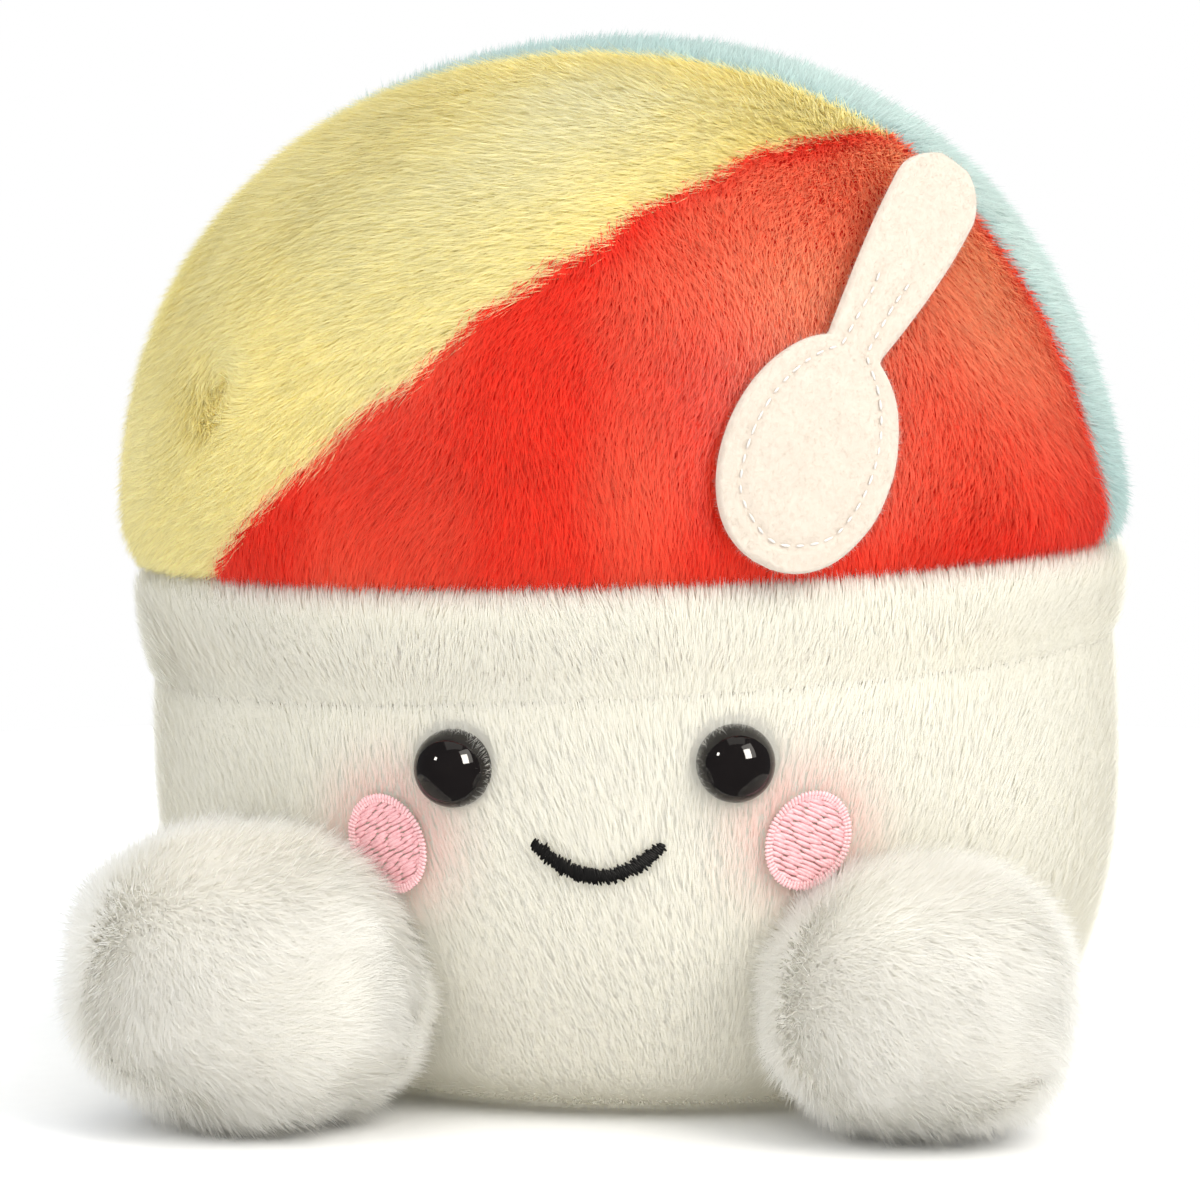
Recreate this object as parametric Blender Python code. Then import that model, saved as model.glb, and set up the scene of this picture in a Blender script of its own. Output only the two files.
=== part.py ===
"""Kakigori plush toy: a cup of shaved ice with a stitched face, two round feet and a felt spoon.

Metres, +Z up. The face looks along -Y. The origin is the centre of the cup's flat base, which
stands on the floor with the two feet. The toy leans a little to -X, as a stuffed toy does.
Every solid is the outer envelope of its pile, so neighbours keep a small gap instead of mixing.
"""

import math

import bmesh
import bpy
from mathutils import Matrix, Vector

# Driving dimensions
GAP = 0.0003
SMOOTH_ANGLE = 40.0
LEAN = 0.035
DEPTH_RATIO = 0.95
SEGMENTS = 48

BASE_EDGE_HEIGHT = 0.0060
BASE_EDGE_TUCK = 0.0046
WALL_RADIUS = 0.0563
WALL_FLARE = 0.0110
WALL_FLARE_HEIGHT = 0.0345
WALL_FLARE_POWER = 2.2
CREASE_HEIGHT = 0.0457
CREASE_TILT = (0.055, -0.015)

RIM_FOOT_RADIUS = 0.0559
RIM_TOP_RADIUS = 0.0566
RIM_BULGE = 0.0022
JUNCTION_HEIGHT = 0.0567
JUNCTION_TILT = (0.030, -0.015)

DOME_RADIUS = 0.0583
DOME_HEIGHT = 0.0598
DOME_POWER = 2.2
DOME_TUCK = 0.0008
DOME_SAG = 0.0012

# The three colours of ice meet along a slanting line, from FIELD_HEART up to FIELD_APEX.
FIELD_HEART = Vector((-0.0200, 0.0160, 0.0565))
FIELD_APEX = Vector((0.0297, -0.0159, 0.1074))
FIELD_HEADINGS = {"ice_yellow": (-100.0, -27.8), "ice_red": (-27.8, 69.0), "ice_blue": (69.0, 260.0)}
FIELD_REACH = 0.220

EYE_RADIUS = 0.0042
EYE_BULGE = 0.0034
EYE_STEM_DEPTH = 0.0030
EYE_HEADINGS = {"eye_left": (-16.0, 0.0393), "eye_right": (15.4, 0.0402)}

SMILE_HALF_HEADING = 7.0
SMILE_DIP = 0.0034
SMILE_END_HEIGHT = 0.0317
SMILE_HALF_WIDTH = 0.00075
THREAD_THICKNESS = 0.0009

CHEEK_HALF_WIDTH = 0.0048
CHEEK_HALF_HEIGHT = 0.0054
CHEEK_PLACES = {"cheek_left": (-24.2, 0.0308, 22.0), "cheek_right": (23.2, 0.0318, -22.0)}

SPOON_THICKNESS = 0.0013
SPOON_BOWL_CENTRE = (0.0251, 0.0732)
SPOON_BOWL_LEAN = 28.5
SPOON_HANDLE_LEAN = 37.0
SPOON_BEND_REACH = 0.0045
SPOON_BOWL_LENGTH = 0.0268
SPOON_BOWL_HALF_WIDTH = 0.0097
SPOON_NECK_HALF_WIDTH = 0.0033
SPOON_HANDLE_LENGTH = 0.0238
SPOON_HANDLE_HALF_WIDTH = 0.0049
SPOON_HANDLE_LIFT = 0.0050
SPOON_LIFT_POWER = 1.6
SPOON_EGG_SKEW = 0.92
SPOON_WIDEST_SHARE = 0.75
SPOON_ROUND_SHARE = 0.20
SPOON_BLUNT_HALF_WIDTH = 0.0012

FEET = {
    "foot_left": {"centre": (-0.0391, -0.0470, 0.0158), "size": (0.0205, 0.0180, 0.0178)},
    "foot_right": {"centre": (0.0326, -0.0475, 0.0152), "size": (0.0180, 0.0172, 0.0164)},
}
FOOT_POWER = 2.25

COLOURS = {
    "ivory plush": ((0.90, 0.88, 0.80), 0.95),
    "yellow plush": ((0.90, 0.78, 0.33), 0.95),
    "red plush": ((0.83, 0.06, 0.03), 0.95),
    "blue plush": ((0.55, 0.85, 0.88), 0.95),
    "cream felt": ((0.97, 0.89, 0.77), 0.95),
    "black bead": ((0.01, 0.009, 0.009), 0.12),
    "black thread": ((0.015, 0.014, 0.014), 0.6),
    "pink thread": ((0.89, 0.36, 0.42), 0.55),
}


def plush_material(name):
    """Return the named material, made on first use."""
    found = bpy.data.materials.get(name)
    if found:
        return found
    colour, roughness = COLOURS[name]
    material = bpy.data.materials.new(name)
    material.use_nodes = True
    shader = material.node_tree.nodes["Principled BSDF"]
    shader.inputs["Base Color"].default_value = (*colour, 1.0)
    shader.inputs["Roughness"].default_value = roughness
    shader.inputs["Metallic"].default_value = 0.0
    return material


def solid_from(bm, name, material):
    """Turn a bmesh into a named, smoothly shaded object with faces pointing out."""
    bmesh.ops.recalc_face_normals(bm, faces=bm.faces)
    mesh = bpy.data.meshes.new(name)
    bm.to_mesh(mesh)
    bm.free()
    mesh.shade_smooth()
    mesh.set_sharp_from_angle(angle=math.radians(SMOOTH_ANGLE))
    mesh.materials.append(plush_material(material))
    solid = bpy.data.objects.new(name, mesh)
    bpy.context.scene.collection.objects.link(solid)
    return solid


def boolean(solid, cutter, operation):
    """Cut or keep with another object, which stays out of the render."""
    cutter.hide_render = True
    cutter.display_type = "WIRE"
    modifier = solid.modifiers.new(operation.title(), "BOOLEAN")
    modifier.operation = operation
    modifier.solver = "EXACT"
    modifier.object = cutter


def side_shift(z):
    """How far the toy's own axis stands off to -X at height z: its lean, and the ice's sag."""
    share = min(1.0, max(0.0, (z - JUNCTION_HEIGHT) / DOME_HEIGHT))
    return LEAN * z + DOME_SAG * math.sin(math.pi * share)


def leaned(x, y, z):
    """Apply the toy's sideways lean and its slightly shallower depth."""
    return Vector((x - side_shift(z), y * DEPTH_RATIO, z))


def heading_vector(heading):
    """Unit direction seen from above: 0 degrees is the face, 90 degrees is +X."""
    return math.sin(math.radians(heading)), -math.cos(math.radians(heading))


def tilted(height, tilt, x, y):
    """Height of a tilted seam above the point x, y."""
    return height + tilt[0] * x + tilt[1] * y * DEPTH_RATIO


def wall_radius(z):
    """Radius of the cup's wall at height z."""
    flare = max(0.0, 1.0 - z / WALL_FLARE_HEIGHT) ** WALL_FLARE_POWER
    tuck = max(0.0, 1.0 - z / BASE_EDGE_HEIGHT) ** 2
    return WALL_RADIUS - WALL_FLARE * flare - BASE_EDGE_TUCK * tuck


def turned(rings, radius_at, height_at):
    """Closed lathe-like bmesh: rings of points, bridged, with a flat face at each end."""
    bm = bmesh.new()
    loops = []
    for step in rings:
        loop = []
        for index in range(SEGMENTS):
            hx, hy = heading_vector(360.0 * index / SEGMENTS)
            radius = radius_at(step)
            x, y = hx * radius, hy * radius
            loop.append(bm.verts.new(leaned(x, y, height_at(step, x, y))))
        loops.append(loop)
    for lower, upper in zip(loops, loops[1:]):
        for index in range(SEGMENTS):
            after = (index + 1) % SEGMENTS
            bm.faces.new((lower[index], lower[after], upper[after], upper[index]))
    bm.faces.new(loops[0])
    bm.faces.new(loops[-1])
    return bm


def cup_mesh(grow=0.0, bottom=0.0):
    """The cup's body from its base to the crease under the rim."""
    heights = [0.0, 0.02, 0.05, 0.09] + [0.15 + 0.85 * step / 11 for step in range(12)]

    def radius_at(share):
        return wall_radius(share * CREASE_HEIGHT) + grow

    def height_at(share, x, y):
        top = tilted(CREASE_HEIGHT, CREASE_TILT, x, y)
        return bottom if share == 0.0 else share * top

    return turned(heights, radius_at, height_at)


def rim_mesh():
    """The rolled rim band: a thick disc that bulges between its two seams."""
    steps = [step / 9 for step in range(10)]

    def radius_at(share):
        straight = RIM_FOOT_RADIUS + (RIM_TOP_RADIUS - RIM_FOOT_RADIUS) * share
        return straight + RIM_BULGE * math.sin(math.pi * share) ** 0.75

    def height_at(share, x, y):
        low = tilted(CREASE_HEIGHT, CREASE_TILT, x, y) + GAP
        high = tilted(JUNCTION_HEIGHT, JUNCTION_TILT, x, y)
        return low + (high - low) * share

    return turned(steps, radius_at, height_at)


def dome_profile(turn):
    """Radius and rise of the ice at an angle from 0 at its edge to 90 degrees at its top."""
    angle = math.radians(turn)
    radius = DOME_RADIUS * math.cos(angle) ** (2.0 / DOME_POWER)
    rise = DOME_HEIGHT * math.sin(angle) ** (2.0 / DOME_POWER)
    return radius - DOME_TUCK * max(0.0, 1.0 - turn / 6.0), rise


def dome_mesh():
    """The whole mound of ice, which the three colour fields are cut from."""
    turns = [0.0, 4.0] + [9.0 + 5.0 * step for step in range(16)] + [86.5, 88.8]

    def height_at(turn, x, y):
        return tilted(JUNCTION_HEIGHT, JUNCTION_TILT, x, y) + GAP + dome_profile(turn)[1]

    return turned(turns, lambda turn: dome_profile(turn)[0], height_at)


def field_cutter(name, first, last):
    """A wedge round the slanting line where the fields meet, between two headings."""
    bm = bmesh.new()
    slope = (FIELD_APEX - FIELD_HEART) / (FIELD_APEX.z - FIELD_HEART.z)
    half_angle = math.radians((last - first) / 2.0)
    bx, by = heading_vector((first + last) / 2.0)
    inset = 0.75 * GAP / math.sin(half_angle)
    arcs = max(2, math.ceil((last - first) / 40.0))
    loops = []
    for z in (JUNCTION_HEIGHT - 0.010, JUNCTION_HEIGHT + DOME_HEIGHT + 0.010):
        heart = FIELD_HEART + slope * (z - FIELD_HEART.z) + Vector((bx, by, 0.0)) * inset
        loop = [bm.verts.new(heart)]
        for step in range(arcs + 1):
            hx, hy = heading_vector(first + (last - first) * step / arcs)
            loop.append(bm.verts.new(heart + Vector((hx, hy, 0.0)) * FIELD_REACH))
        loops.append(loop)
    count = len(loops[0])
    for index in range(count):
        after = (index + 1) % count
        bm.faces.new((loops[0][index], loops[0][after], loops[1][after], loops[1][index]))
    for loop in loops:
        bm.faces.new(loop)
    return solid_from(bm, name, "ivory plush")


def make_ice():
    """Three gores of plush that make up the ice."""
    for name, (first, last) in FIELD_HEADINGS.items():
        field = solid_from(dome_mesh(), name, name.replace("ice_", "") + " plush")
        boolean(field, field_cutter(name + "_cutter", first, last), "INTERSECT")


def wall_point(heading, z, out=0.0):
    """A point on the cup's wall, or out from it."""
    hx, hy = heading_vector(heading)
    radius = wall_radius(z) + out
    return leaned(hx * radius, hy * radius, z)


def wall_frame(heading, z):
    """Outward, sideways and upward directions of the wall at a point."""
    step_z, step_heading = 0.0005, 0.5
    up = (wall_point(heading, z + step_z) - wall_point(heading, z - step_z)).normalized()
    side = wall_point(heading + step_heading, z) - wall_point(heading - step_heading, z)
    outward = side.cross(up).normalized()
    return outward, up.cross(outward).normalized(), up


def frame_matrix(place, outward, side, up):
    """Matrix whose local X, Y and Z are side, up and outward at a place."""
    matrix = Matrix((side, up, outward)).transposed().to_4x4()
    matrix.translation = place
    return matrix


def bead_mesh(grow, bulge, depth):
    """A domed bead on a short round stem, along local +Z."""
    bm = bmesh.new()
    around, rise = 28, 6
    radius = EYE_RADIUS + grow
    rings = [(radius, -depth)]
    rings += [
        (radius * math.cos(math.pi / 2 * step / rise), bulge * math.sin(math.pi / 2 * step / rise))
        for step in range(rise)
    ]
    loops = []
    for ring_radius, height in rings:
        loop = []
        for index in range(around):
            angle = 2 * math.pi * index / around
            place = (ring_radius * math.cos(angle), ring_radius * math.sin(angle), height)
            loop.append(bm.verts.new(place))
        loops.append(loop)
    for lower, upper in zip(loops, loops[1:]):
        for index in range(around):
            after = (index + 1) % around
            bm.faces.new((lower[index], lower[after], upper[after], upper[index]))
    bm.faces.new(loops[0])
    crown = bm.verts.new((0.0, 0.0, bulge))
    for index in range(around):
        bm.faces.new((loops[-1][index], loops[-1][(index + 1) % around], crown))
    return bm


def make_eyes(cup):
    """Two bead eyes, each with its stem in a pocket of the cup's pile."""
    for name, (heading, z) in EYE_HEADINGS.items():
        matrix = frame_matrix(wall_point(heading, z), *wall_frame(heading, z))
        eye = solid_from(bead_mesh(0.0, EYE_BULGE, EYE_STEM_DEPTH), name, "black bead")
        eye.matrix_world = matrix
        pocket_mesh = bead_mesh(GAP, EYE_BULGE, EYE_STEM_DEPTH + GAP)
        pocket = solid_from(pocket_mesh, name + "_pocket", "ivory plush")
        pocket.matrix_world = matrix
        boolean(cup, pocket, "DIFFERENCE")


def stitched_patch(rows, place_at):
    """A thin closed patch on a surface, from a grid of rows of u, v pairs.

    place_at gives the point for u, v and a height over the surface. The patch lies GAP over
    the surface at its rim and rises to the thread's thickness inside it.
    """
    bm = bmesh.new()
    under = [[bm.verts.new(place_at(u, v, GAP)) for u, v in row] for row in rows]
    over = [[bm.verts.new(place_at(u, v, GAP + THREAD_THICKNESS)) for u, v in row] for row in rows]
    for grid in (under, over):
        for lower, upper in zip(grid, grid[1:]):
            for index in range(len(lower) - 1):
                corners = (lower[index], lower[index + 1], upper[index + 1], upper[index])
                bm.faces.new(corners)
    edges = [
        ([row[0] for row in under], [row[0] for row in over]),
        ([row[-1] for row in under], [row[-1] for row in over]),
        (under[0], over[0]),
        (under[-1], over[-1]),
    ]
    for low, high in edges:
        for index in range(len(low) - 1):
            bm.faces.new((low[index], low[index + 1], high[index + 1], high[index]))
    return bm


def make_smile():
    """A satin-stitched arc that curves down between its two ends."""
    steps, row_count, rows = 24, 4, []
    for row in range(row_count + 1):
        share = 2.0 * row / row_count - 1.0
        line = []
        for step in range(steps + 1):
            along = 2.0 * step / steps - 1.0
            taper = max(0.35, (1.0 - along**6) ** 0.5)
            line.append((along, share * SMILE_HALF_WIDTH * taper))
        rows.append(line)

    def place_at(along, offset, height):
        z = SMILE_END_HEIGHT - SMILE_DIP * (1.0 - along**2) + offset
        return wall_point(SMILE_HALF_HEADING * along, z, height)

    solid_from(stitched_patch(rows, place_at), "smile", "black thread")


def make_cheeks(feet):
    """Two embroidered ovals, cut back where a foot stands against them."""
    for name, (heading, z, turn) in CHEEK_PLACES.items():
        outward, side, up = wall_frame(heading, z)
        centre = wall_point(heading, z)
        cos_turn, sin_turn = math.cos(math.radians(turn)), math.sin(math.radians(turn))
        rows, steps = [], 8
        for row in range(steps + 1):
            high = 2.0 * row / steps - 1.0
            reach = max(0.30, math.sqrt(max(0.0, 1.0 - high**2)))
            line = []
            for step in range(steps + 1):
                across = (2.0 * step / steps - 1.0) * reach * CHEEK_HALF_WIDTH
                line.append((across, high * CHEEK_HALF_HEIGHT))
            rows.append(line)

        def place_at(across, high, height):
            turned_across = across * cos_turn - high * sin_turn
            turned_high = across * sin_turn + high * cos_turn
            near = centre + side * turned_across + up * turned_high
            radians = math.atan2(near.x + side_shift(near.z), -near.y / DEPTH_RATIO)
            return wall_point(math.degrees(radians), near.z, height)

        cheek = solid_from(stitched_patch(rows, place_at), name, "pink thread")
        boolean(cheek, feet[name.replace("cheek", "foot")], "DIFFERENCE")


def foot_mesh(centre, size, grow=0.0, bottom=0.0):
    """A round stuffed foot, pressed flat where it stands on the floor."""
    bm = bmesh.new()
    bmesh.ops.create_uvsphere(bm, u_segments=32, v_segments=22, radius=1.0)
    for vert in bm.verts:
        spread = sum(abs(value) ** FOOT_POWER for value in vert.co) ** (1.0 / FOOT_POWER)
        scaled = [value / spread * (reach + grow) for value, reach in zip(vert.co, size)]
        vert.co = Vector(centre) + Vector(scaled)
        vert.co.z = max(vert.co.z, bottom)
    return bm


def make_feet():
    """Two feet sewn against the front of the cup. Returns the enlarged copies that cut others."""
    cutters = {}
    for name, foot in FEET.items():
        solid = solid_from(foot_mesh(foot["centre"], foot["size"]), name, "ivory plush")
        cup_space = solid_from(cup_mesh(GAP, -0.005), name + "_cup_space", "ivory plush")
        boolean(solid, cup_space, "DIFFERENCE")
        grown = foot_mesh(foot["centre"], foot["size"], GAP, -0.005)
        cutters[name] = solid_from(grown, name + "_space", "ivory plush")
        cutters[name].hide_render = True
        cutters[name].display_type = "WIRE"
    return cutters


def dome_point(direction, height):
    """The point a given height over the ice, along a direction from the ice's own centre."""
    centre = leaned(0.0, 0.0, JUNCTION_HEIGHT)
    low, high, halvings = 0.0, 2.0 * DOME_HEIGHT, 40
    for _ in range(halvings):
        middle = (low + high) / 2.0
        place = centre + direction * middle
        x, y = place.x + side_shift(place.z), place.y / DEPTH_RATIO
        rise = max(0.0, place.z - tilted(JUNCTION_HEIGHT, JUNCTION_TILT, x, y) - GAP)
        share = (math.hypot(x, y) / DOME_RADIUS) ** DOME_POWER + (rise / DOME_HEIGHT) ** DOME_POWER
        low, high = (middle, high) if share < 1.0 else (low, middle)
    return centre + direction * (low + height)


def spoon_half_width(along):
    """Half the felt's width at a distance from the bowl's end."""
    neck = SPOON_BOWL_LENGTH
    if along < neck:
        share = along / neck
        egg = math.sqrt(max(0.0, 1.0 - (1.0 - 2.0 * share**SPOON_EGG_SKEW) ** 2))
        return max(egg * SPOON_BOWL_HALF_WIDTH, SPOON_NECK_HALF_WIDTH * min(1.0, 4.0 * share))
    share = (along - neck) / SPOON_HANDLE_LENGTH
    widen = math.sin(math.pi / 2.0 * min(1.0, share / SPOON_WIDEST_SHARE))
    flare = SPOON_NECK_HALF_WIDTH + (SPOON_HANDLE_HALF_WIDTH - SPOON_NECK_HALF_WIDTH) * widen
    end = max(0.0, 1.0 - (1.0 - share) / SPOON_ROUND_SHARE)
    return flare * max(0.12, math.sqrt(max(0.0, 1.0 - end**2)))


def make_spoon():
    """A spoon cut from felt, sewn flat on the ice round its bowl, with its handle standing free."""
    total = SPOON_BOWL_LENGTH + SPOON_HANDLE_LENGTH
    steps, across = 30, 6
    start = leaned(SPOON_BOWL_CENTRE[0], 0.0, SPOON_BOWL_CENTRE[1])
    centre = leaned(0.0, 0.0, JUNCTION_HEIGHT)
    drop = math.sqrt(max(0.0, DOME_RADIUS**2 - (start.x - centre.x) ** 2))
    outward = (Vector((start.x, -drop * DEPTH_RATIO, start.z)) - centre).normalized()
    level = Vector((0.0, 0.0, 1.0)).cross(outward).normalized()
    steep = outward.cross(level)

    def heading_at(lean):
        return steep * math.cos(math.radians(lean)) + level * math.sin(math.radians(lean))

    bowl_way, handle_way = heading_at(SPOON_BOWL_LEAN), heading_at(SPOON_HANDLE_LEAN)

    def place_at(along, offset, height):
        past = along - SPOON_BOWL_LENGTH
        turned_share = min(1.0, max(0.0, 0.5 + past / (2.0 * SPOON_BEND_REACH)))
        way = bowl_way.lerp(handle_way, turned_share).normalized()
        middle = bowl_way * (SPOON_BOWL_LENGTH / 2.0 + min(0.0, past)) + handle_way * max(0.0, past)
        flat = middle + way.cross(outward) * offset
        distance = flat.length
        bend = distance / DOME_RADIUS
        direction = outward * math.cos(bend)
        if distance > 0.0:
            direction += flat.normalized() * math.sin(bend)
        free = max(0.0, (along - SPOON_BOWL_LENGTH) / SPOON_HANDLE_LENGTH)
        return dome_point(direction, height + SPOON_HANDLE_LIFT * free**SPOON_LIFT_POWER)

    bm = bmesh.new()
    layers = []
    for height in (GAP, GAP + SPOON_THICKNESS):
        grid = []
        for step in range(steps + 1):
            along = total * (0.5 - 0.5 * math.cos(math.pi * step / steps))
            half = max(spoon_half_width(along), SPOON_BLUNT_HALF_WIDTH)
            row = [
                bm.verts.new(place_at(along, half * (2.0 * index / across - 1.0), height))
                for index in range(across + 1)
            ]
            grid.append(row)
        layers.append(grid)
    for grid in layers:
        for lower, upper in zip(grid, grid[1:]):
            for index in range(across):
                bm.faces.new((lower[index], lower[index + 1], upper[index + 1], upper[index]))
    under, over = layers
    sides = [
        (under[0], over[0]),
        (under[-1], over[-1]),
        ([row[0] for row in under], [row[0] for row in over]),
        ([row[-1] for row in under], [row[-1] for row in over]),
    ]
    for low, high in sides:
        for index in range(len(low) - 1):
            bm.faces.new((low[index], low[index + 1], high[index + 1], high[index]))
    solid_from(bm, "spoon", "cream felt")


for old in list(bpy.data.objects):
    bpy.data.objects.remove(old)

cup_body = solid_from(cup_mesh(), "cup_body", "ivory plush")
solid_from(rim_mesh(), "cup_rim", "ivory plush")
make_ice()
foot_spaces = make_feet()
make_eyes(cup_body)
make_smile()
make_cheeks(foot_spaces)
make_spoon()
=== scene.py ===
import math

import bmesh
import bpy
import numpy as np
from mathutils import Matrix, Vector


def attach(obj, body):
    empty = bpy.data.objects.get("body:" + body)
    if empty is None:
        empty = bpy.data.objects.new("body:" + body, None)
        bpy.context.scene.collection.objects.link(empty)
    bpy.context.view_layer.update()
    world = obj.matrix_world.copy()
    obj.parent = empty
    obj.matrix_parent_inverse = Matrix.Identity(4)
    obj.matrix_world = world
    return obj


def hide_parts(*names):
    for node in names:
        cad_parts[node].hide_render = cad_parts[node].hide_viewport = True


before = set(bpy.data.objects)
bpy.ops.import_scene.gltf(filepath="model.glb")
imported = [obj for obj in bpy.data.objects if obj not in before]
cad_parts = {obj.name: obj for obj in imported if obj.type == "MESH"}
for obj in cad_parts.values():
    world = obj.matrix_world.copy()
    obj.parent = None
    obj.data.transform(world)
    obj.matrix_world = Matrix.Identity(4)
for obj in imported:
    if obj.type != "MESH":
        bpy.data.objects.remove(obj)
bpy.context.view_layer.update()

# ---------------------------------------------------------------------------------------------
# The table, the lights and the camera. The toy sits on a plain white sweep between white walls,
# under two large soft lights and a weak low one. Two small cards only give the glossy beads
# their highlights, and the low light and the table leave them dark.
AIM = Vector((-0.00547, 0.0, 0.052))
VIEW_TURN = math.radians(5.0)
VIEW_RISE = math.radians(6.0)
VIEW_DISTANCE = 0.600
VIEW_WIDTH = 0.138


def seen_from(turn, rise, distance):
    """A point round the toy: turn 0 is in front of the face, and +90 degrees is at +X."""
    level = Vector((math.sin(turn), -math.cos(turn), 0.0)) * math.cos(rise)
    return AIM + (level + Vector((0.0, 0.0, math.sin(rise)))) * distance


def face_towards(thing, place):
    thing.location = place
    thing.rotation_euler = (AIM - place).to_track_quat("-Z", "Y").to_euler()
    bpy.context.scene.collection.objects.link(thing)


lens = bpy.data.cameras.new("camera")
lens.sensor_width = 36.0
lens.lens = lens.sensor_width * VIEW_DISTANCE / VIEW_WIDTH
lens.clip_start = 0.01
camera = bpy.data.objects.new("camera", lens)
face_towards(camera, seen_from(VIEW_TURN, VIEW_RISE, VIEW_DISTANCE))
bpy.context.scene.camera = camera

LIGHTS = {
    "key": (52.0, 36.0, 0.75, 0.40, 0.50, 3.1, True),
    "low_fill": (-20.0, 5.0, 0.70, 0.50, 0.20, 0.8, True),
    "top": (12.0, 82.0, 0.80, 0.60, 0.60, 1.3, True),
    "eye_card": (43.0, 29.0, 0.60, 0.19, 0.26, 6.6, False),
    "small_card": (-50.0, 26.0, 0.60, 0.075, 0.075, 1.0, False),
}
WARM = (1.0, 0.955, 0.87)
for name, (turn, rise, distance, width, height, power, lights_cloth) in LIGHTS.items():
    softbox = bpy.data.lights.new(name, "AREA")
    softbox.shape = "RECTANGLE"
    softbox.size = width
    softbox.size_y = height
    softbox.energy = power
    softbox.color = WARM
    lamp = bpy.data.objects.new(name, softbox)
    lamp.visible_diffuse = lights_cloth
    lamp.visible_glossy = name != "low_fill"
    face_towards(lamp, seen_from(math.radians(turn), math.radians(rise), distance))

WALL_WHITE = (1.0, 1.0, 1.0, 1.0)
WALL_COOL = (0.945, 0.97, 1.0, 1.0)
WALL_LIGHT = 1.13
WALL_SHINE = 0.12
walls = bpy.data.worlds.new("white walls")
walls.use_nodes = True
wall_nodes, wall_links = walls.node_tree.nodes, walls.node_tree.links
wall_glow = wall_nodes["Background"]
wall_glow.inputs["Color"].default_value = WALL_COOL
wall_seen = wall_nodes.new("ShaderNodeBackground")
wall_seen.inputs["Color"].default_value = WALL_WHITE
wall_ray = wall_nodes.new("ShaderNodeLightPath")
wall_level = wall_nodes.new("ShaderNodeMapRange")
wall_level.inputs["To Min"].default_value = WALL_LIGHT
wall_level.inputs["To Max"].default_value = WALL_SHINE
wall_links.new(wall_ray.outputs["Is Glossy Ray"], wall_level.inputs["Value"])
wall_links.new(wall_level.outputs["Result"], wall_glow.inputs["Strength"])
wall_mix = wall_nodes.new("ShaderNodeMixShader")
wall_links.new(wall_ray.outputs["Is Camera Ray"], wall_mix.inputs["Fac"])
wall_links.new(wall_glow.outputs[0], wall_mix.inputs[1])
wall_links.new(wall_seen.outputs[0], wall_mix.inputs[2])
wall_links.new(wall_mix.outputs[0], wall_nodes["World Output"].inputs["Surface"])
bpy.context.scene.world = walls
bpy.context.scene.view_settings.view_transform = "Standard"


def link_mesh(name, mesh):
    """Put a mesh in the scene as a piece whose object stays at the origin."""
    piece = bpy.data.objects.new(name, mesh)
    bpy.context.scene.collection.objects.link(piece)
    return piece


def shader_of(name):
    """A new material with its node tree and its main shader."""
    material = bpy.data.materials.new(name)
    material.use_nodes = True
    nodes = material.node_tree.nodes
    return material, material.node_tree, nodes["Principled BSDF"]


TABLE_RADIUS = 0.30
TABLE_SIDES = 96
table_turns = [2.0 * math.pi * index / TABLE_SIDES for index in range(TABLE_SIDES)]
table_edge = [(math.cos(turn) * TABLE_RADIUS, math.sin(turn) * TABLE_RADIUS, 0.0) for turn in table_turns]
table_mesh = bpy.data.meshes.new("table")
table_mesh.from_pydata(table_edge, [], [tuple(range(TABLE_SIDES))])
table = link_mesh("table", table_mesh)
table_finish, table_tree, table_shader = shader_of("white paper")
paper = table_tree.nodes.new("ShaderNodeTexNoise")
paper.inputs["Scale"].default_value = 400.0
paper_tone = table_tree.nodes.new("ShaderNodeMapRange")
paper_tone.inputs["To Min"].default_value = 0.93
paper_tone.inputs["To Max"].default_value = 0.96
table_place = table_tree.nodes.new("ShaderNodeTexCoord")
table_tree.links.new(table_place.outputs["Object"], paper.inputs["Vector"])
table_tree.links.new(paper.outputs["Fac"], paper_tone.inputs["Value"])
table_tree.links.new(paper_tone.outputs["Result"], table_shader.inputs["Base Color"])
table_shader.inputs["Roughness"].default_value = 0.9
table_shader.inputs["Specular IOR Level"].default_value = 0.1
table_mesh.materials.append(table_finish)
table.visible_glossy = False

# ---------------------------------------------------------------------------------------------
# The cup's body: a short tub of ivory plush, sewn to a round base and stuffed firm. Its wall
# swells between the base seam and the crease under the rim.
LEAN = 0.035
SAG = 0.0012
DEPTH = 0.95
BASE_ROUND = 0.0060
BASE_TUCK = 0.0046
WALL_RADIUS = 0.0563
WALL_FLARE = 0.0110
FLARE_HEIGHT = 0.0345
CREASE_HEIGHT = 0.0457
CREASE_TILT = (0.055, -0.015)
SEAM_PULL = 0.0003
SEAM_REACH = 0.0030
JUNCTION_HEIGHT = 0.0567
JUNCTION_TILT = (0.030, -0.015)
ICE_HEIGHT = 0.0598
AROUND = 128
CUP_PILE = 0.0023
CUP_INSET = 0.0013


def side_shift(z):
    """How far the leaning toy's axis stands off to -X at height z."""
    share = np.clip((z - JUNCTION_HEIGHT) / ICE_HEIGHT, 0.0, 1.0)
    return LEAN * z + SAG * np.sin(math.pi * share)


def tilted(height, tilt, x, y):
    """Height of a tilted seam above the point x, y."""
    return height + tilt[0] * x + tilt[1] * y * DEPTH


def ring(radius, height_at):
    """Points round the toy's axis at a radius, from the face round by +X."""
    turn = np.linspace(0.0, 2.0 * math.pi, AROUND, endpoint=False)
    x, y = np.sin(turn) * radius, -np.cos(turn) * radius
    z = height_at(x, y) + 0.0 * x
    return np.stack([x - side_shift(z), y * DEPTH, z], axis=1)


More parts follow.
